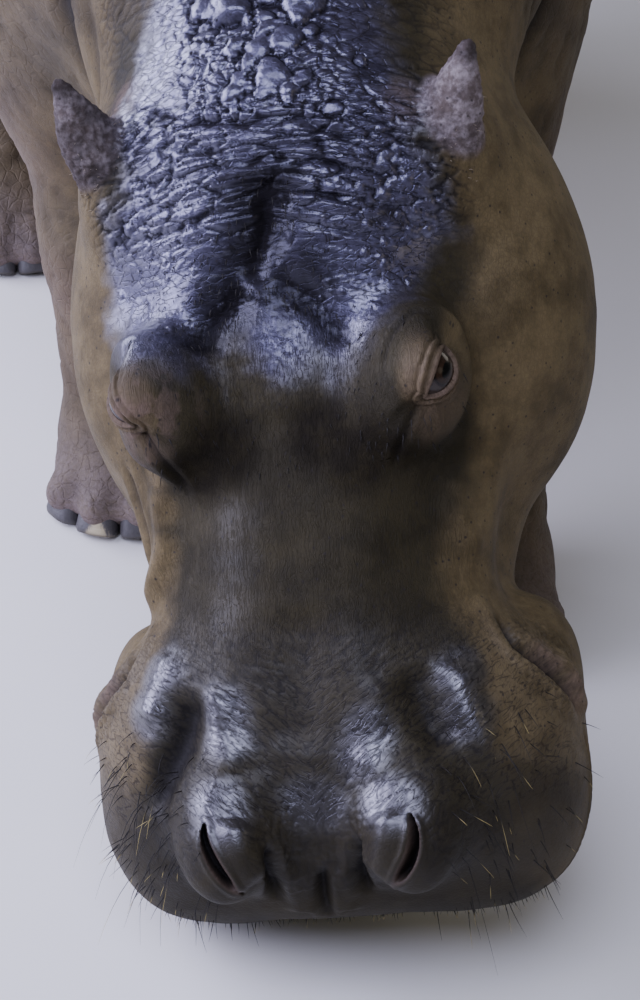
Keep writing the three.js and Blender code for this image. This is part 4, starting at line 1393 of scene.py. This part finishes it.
# The nails that are cream at the foot in the photo, and how much.
CREAM = {("fore_right", 2): .8, ("fore_left", 2): .3}
for leg in LEGS:
    for i, toe in enumerate(toe_frames()):
        node = f"nail_{leg['name']}_{i + 1}"
        thing = add_nail(node + "_horn", leg, toe, CREAM.get((leg["name"], i + 1), 0), horn)
        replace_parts(thing, node)


# ---------- bristles ----------

def landed(points):
    """The nearest places on the skin and the way out there, for points in the head's frame."""
    places = HEAD.outside(points)
    for _ in range(5):
        places = places - slope(places) * at_once(body_field, places)[:, None]
    return HEAD.inside(places), slope(places) @ HEAD.axes


def unwrapped(q):
    """The skin's own unwrap: around the head's long axis, and along it."""
    around = np.arctan2(q[:, 0], -(q[:, 2] + .12)) / (2 * np.pi) + .5
    return np.stack((around, .05 + .9 * (q[:, 1] + .2) / 3.2), 1)


def add_bristles(name, roots, ways, bends, lengths, widths, tones, material, rings=6, around=5):
    """Tapered, bent hairs: each from a root, out along its way, bending towards its bend."""
    count = len(roots)
    t = np.linspace(0, 1, rings)
    side = unit(np.cross(ways, bends) + 1e-6)
    up = unit(np.cross(side, ways))
    middle = (roots[:, None] + lengths[:, None, None] * (t[None, :, None] * ways[:, None]
              + .5 * t[None, :, None] ** 2 * bends[:, None]))
    middle -= .0025 * ways[:, None] * (t[None, :, None] == 0)
    turn = np.linspace(0, 2 * np.pi, around, endpoint=False)
    circle = (np.cos(turn)[None, :, None] * side[:, None] + np.sin(turn)[None, :, None] * up[:, None])
    thick = widths[:, None] * (1 - .82 * t[None] ** 1.3)
    points = middle[:, :, None] + thick[:, :, None, None] * circle[:, None]
    tips = middle[:, -1] + unit(middle[:, -1] - middle[:, -2]) * widths[:, None] * 1.2
    points = np.concatenate((points.reshape(count, -1, 3), tips[:, None]), 1)
    per = rings * around + 1
    one = tube_faces(rings, around, closed=False)
    faces = (one[None] + np.arange(count)[:, None, None] * per).reshape(-1, 3)
    world = HEAD.outside(points.reshape(-1, 3)) + SHIFT
    world[:, 2] = np.maximum(world[:, 2], .0006)
    thing = add_mesh(name, world, faces)
    share = np.concatenate((np.repeat(t, around), (1,)))
    add_layer(thing, "hair",
              np.stack((np.tile(share, count), np.repeat(tones, per), np.zeros(count * per)), 1))
    patch = .003 * np.stack((np.concatenate((np.tile(np.arange(around) / around, rings), (.5,))), share), 1)
    places = (unwrapped(roots)[:, None] + patch[None]).reshape(-1, 2)
    uv = thing.data.uv_layers.new(name="OFBake")
    uv.data.foreach_set("uv", places[faces.ravel()].astype(np.float32).ravel())
    thing.data.materials.append(material)
    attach(thing, "root")
    return thing


def hair_material():
    n = Nodes("bristle")
    share, tone, _ = n.parts("hair")
    dark = (.012, .01, .009)
    colour = n.mix(n.times(n.span(share, .45, .85), n.span(tone, .6, .8)), dark, (.42, .34, .13))
    colour = n.mix(n.span(tone, 1.2, 1.6), colour, (.42, .35, .27))
    n.set(Base_Color=colour, Roughness=.5, Specular_IOR_Level=.2)
    return n.material


strand = hair_material()
rng = np.random.default_rng(5)


def grow(name, guesses, lengths, width, lean, bend, tones, spread=.25):
    """Bristles on the skin nearest to the guesses. A tone is 0 for dark, 1 for a light tip, 1.7 for light."""
    roots, outs = landed(guesses)
    n = len(roots)
    ways = unit(outs + lean + rng.normal(0, spread, (n, 3)))
    bends = np.asarray(bend) + rng.normal(0, .18, (n, 3))
    return add_bristles(name, roots, ways, bends, rng.uniform(*lengths, n), rng.uniform(.8, 1.2, n) * width,
                        rng.choice(tones, n), strand)


def either_side(low, high, count):
    """Places between two corners, each of them left or mirrored."""
    places = rng.uniform(low, high, (count, 3))
    places[:, 0] *= np.where(rng.random(count) < .5, -1, 1)
    return places


grow("whiskers", either_side((.085, .02, -.14), (.2, .18, .02), 150), (.01, .03), .00048,
     (0, -.55, .05), (0, -.35, -.55), (0, 0, 0, 1.0))
grow("whiskers_long", either_side((.115, .05, -.08), (.195, .175, .01), 34), (.03, .07), .00042,
     (0, -.6, .3), (0, -1.1, -.8), (0, 0, 0, 0, 0, 0, 0, 1.0))
grow("lip_bristles", rng.uniform((-.18, -.01, -.185), (.18, .03, -.09), (130, 3)), (.004, .01), .00036,
     (0, -.3, -.25), (0, 0, -.2), (0, 1.0, 1.0, 1.0))
grow("face_hairs", rng.uniform((-.14, .4, -.04), (.14, .66, .04), (420, 3)), (.004, .008), .00048,
     (0, -1.2, 0), (0, -.2, -1.2), (0,))
ears = np.concatenate([ear_frame(ear).outside(rng.uniform((-.03, -.036, -.02), (.004, .036, .05), (90, 3)))
                       for ear in EARS])
grow("ear_hairs", HEAD.inside(ears), (.003, .006), .0002, (0, .2, 0), (0, -.3, -.5), (1.7, 0, 0))
TAIL_HAIRS = 150
down = rng.random(TAIL_HAIRS)
tail = np.stack((rng.choice((-.018, .018), TAIL_HAIRS), 1.56 + .03 * down + rng.normal(0, .01, TAIL_HAIRS),
                 .8 - .15 * down), 1)
grow("tail_bristles", HEAD.inside(TRUNK.outside(tail)), (.018, .04), .00045,
     HEAD.axes.T @ np.array((0, .1, -1.1)), HEAD.axes.T @ np.array((0, 0, -.6)), (0,))


# ---------- floor, light and camera ----------

mesh = bpy.data.meshes.new("floor")
mesh.from_pydata([(-9, -9, 0), (9, -9, 0), (9, 9, 0), (-9, 9, 0)], [], [(0, 1, 2, 3)])
floor = bpy.data.objects.new("floor", mesh)
bpy.context.scene.collection.objects.link(floor)
material = bpy.data.materials.new("floor")
material.use_nodes = True
shader = material.node_tree.nodes["Principled BSDF"]
shader.inputs["Base Color"].default_value = (.78, .77, .74, 1)
shader.inputs["Roughness"].default_value = .8
mesh.materials.append(material)
floor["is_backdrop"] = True


def add_area(name, place, target, size, power, colour):
    light = bpy.data.lights.new(name, "AREA")
    light.shape = "ELLIPSE"
    light.size, light.size_y = size
    light.energy = power
    light.color = colour
    thing = bpy.data.objects.new(name, light)
    thing.location = Vector(place) + Vector(SHIFT)
    thing.rotation_euler = (Vector(target) - Vector(place)).to_track_quat("-Z", "Y").to_euler()
    thing.visible_camera = False
    bpy.context.scene.collection.objects.link(thing)


# Each light: its name, where it is, where it points, its width and height, its power in watts, its colour.
LIGHTS = (
    ("sky", (-.45, -2.5, 3.2), (0, -.8, .5), (2.8, 2.2), 120, (.7, .73, 1.0)),
    ("window", (-3.1, -.85, 1.85), (0, -.8, .5), (3.4, 2.6), 245, (.7, .7, 1.0)),
    ("back", (-2.6, 1.3, 2.0), (0, -.5, .8), (2.0, 1.8), 95, (.7, .72, 1.0)),
    ("fill", (3.0, -2.8, 1.9), (0, -.8, .4), (1.6, 1.6), 7, (1.0, .86, .66)),
    ("flank", (3.4, 2.3, 2.0), (0, .5, .75), (2.0, 2.0), 24, (1.0, .93, .84)),
)
for light in LIGHTS:
    add_area(*light)
world = bpy.data.worlds.new("world")
world.use_nodes = True
background = world.node_tree.nodes["Background"]
background.inputs["Color"].default_value = (.72, .7, .62, 1)
background.inputs["Strength"].default_value = .13
bpy.context.scene.world = world

AIM = Vector((0, -1.0, .48))
CAMERA_TILT, CAMERA_DISTANCE, LENS = math.radians(33), 1.8, 76.46
camera_data = bpy.data.cameras.new("camera")
camera_data.sensor_fit = "VERTICAL"
camera_data.sensor_height = 36
camera_data.lens = LENS
camera = bpy.data.objects.new("camera", camera_data)
away = Vector((0, -math.cos(CAMERA_TILT), math.sin(CAMERA_TILT))) * CAMERA_DISTANCE
camera.location = AIM + away + Vector(SHIFT)
camera.rotation_euler = (-away).to_track_quat("-Z", "Y").to_euler()
bpy.context.scene.collection.objects.link(camera)
bpy.context.scene.camera = camera

low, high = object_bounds()
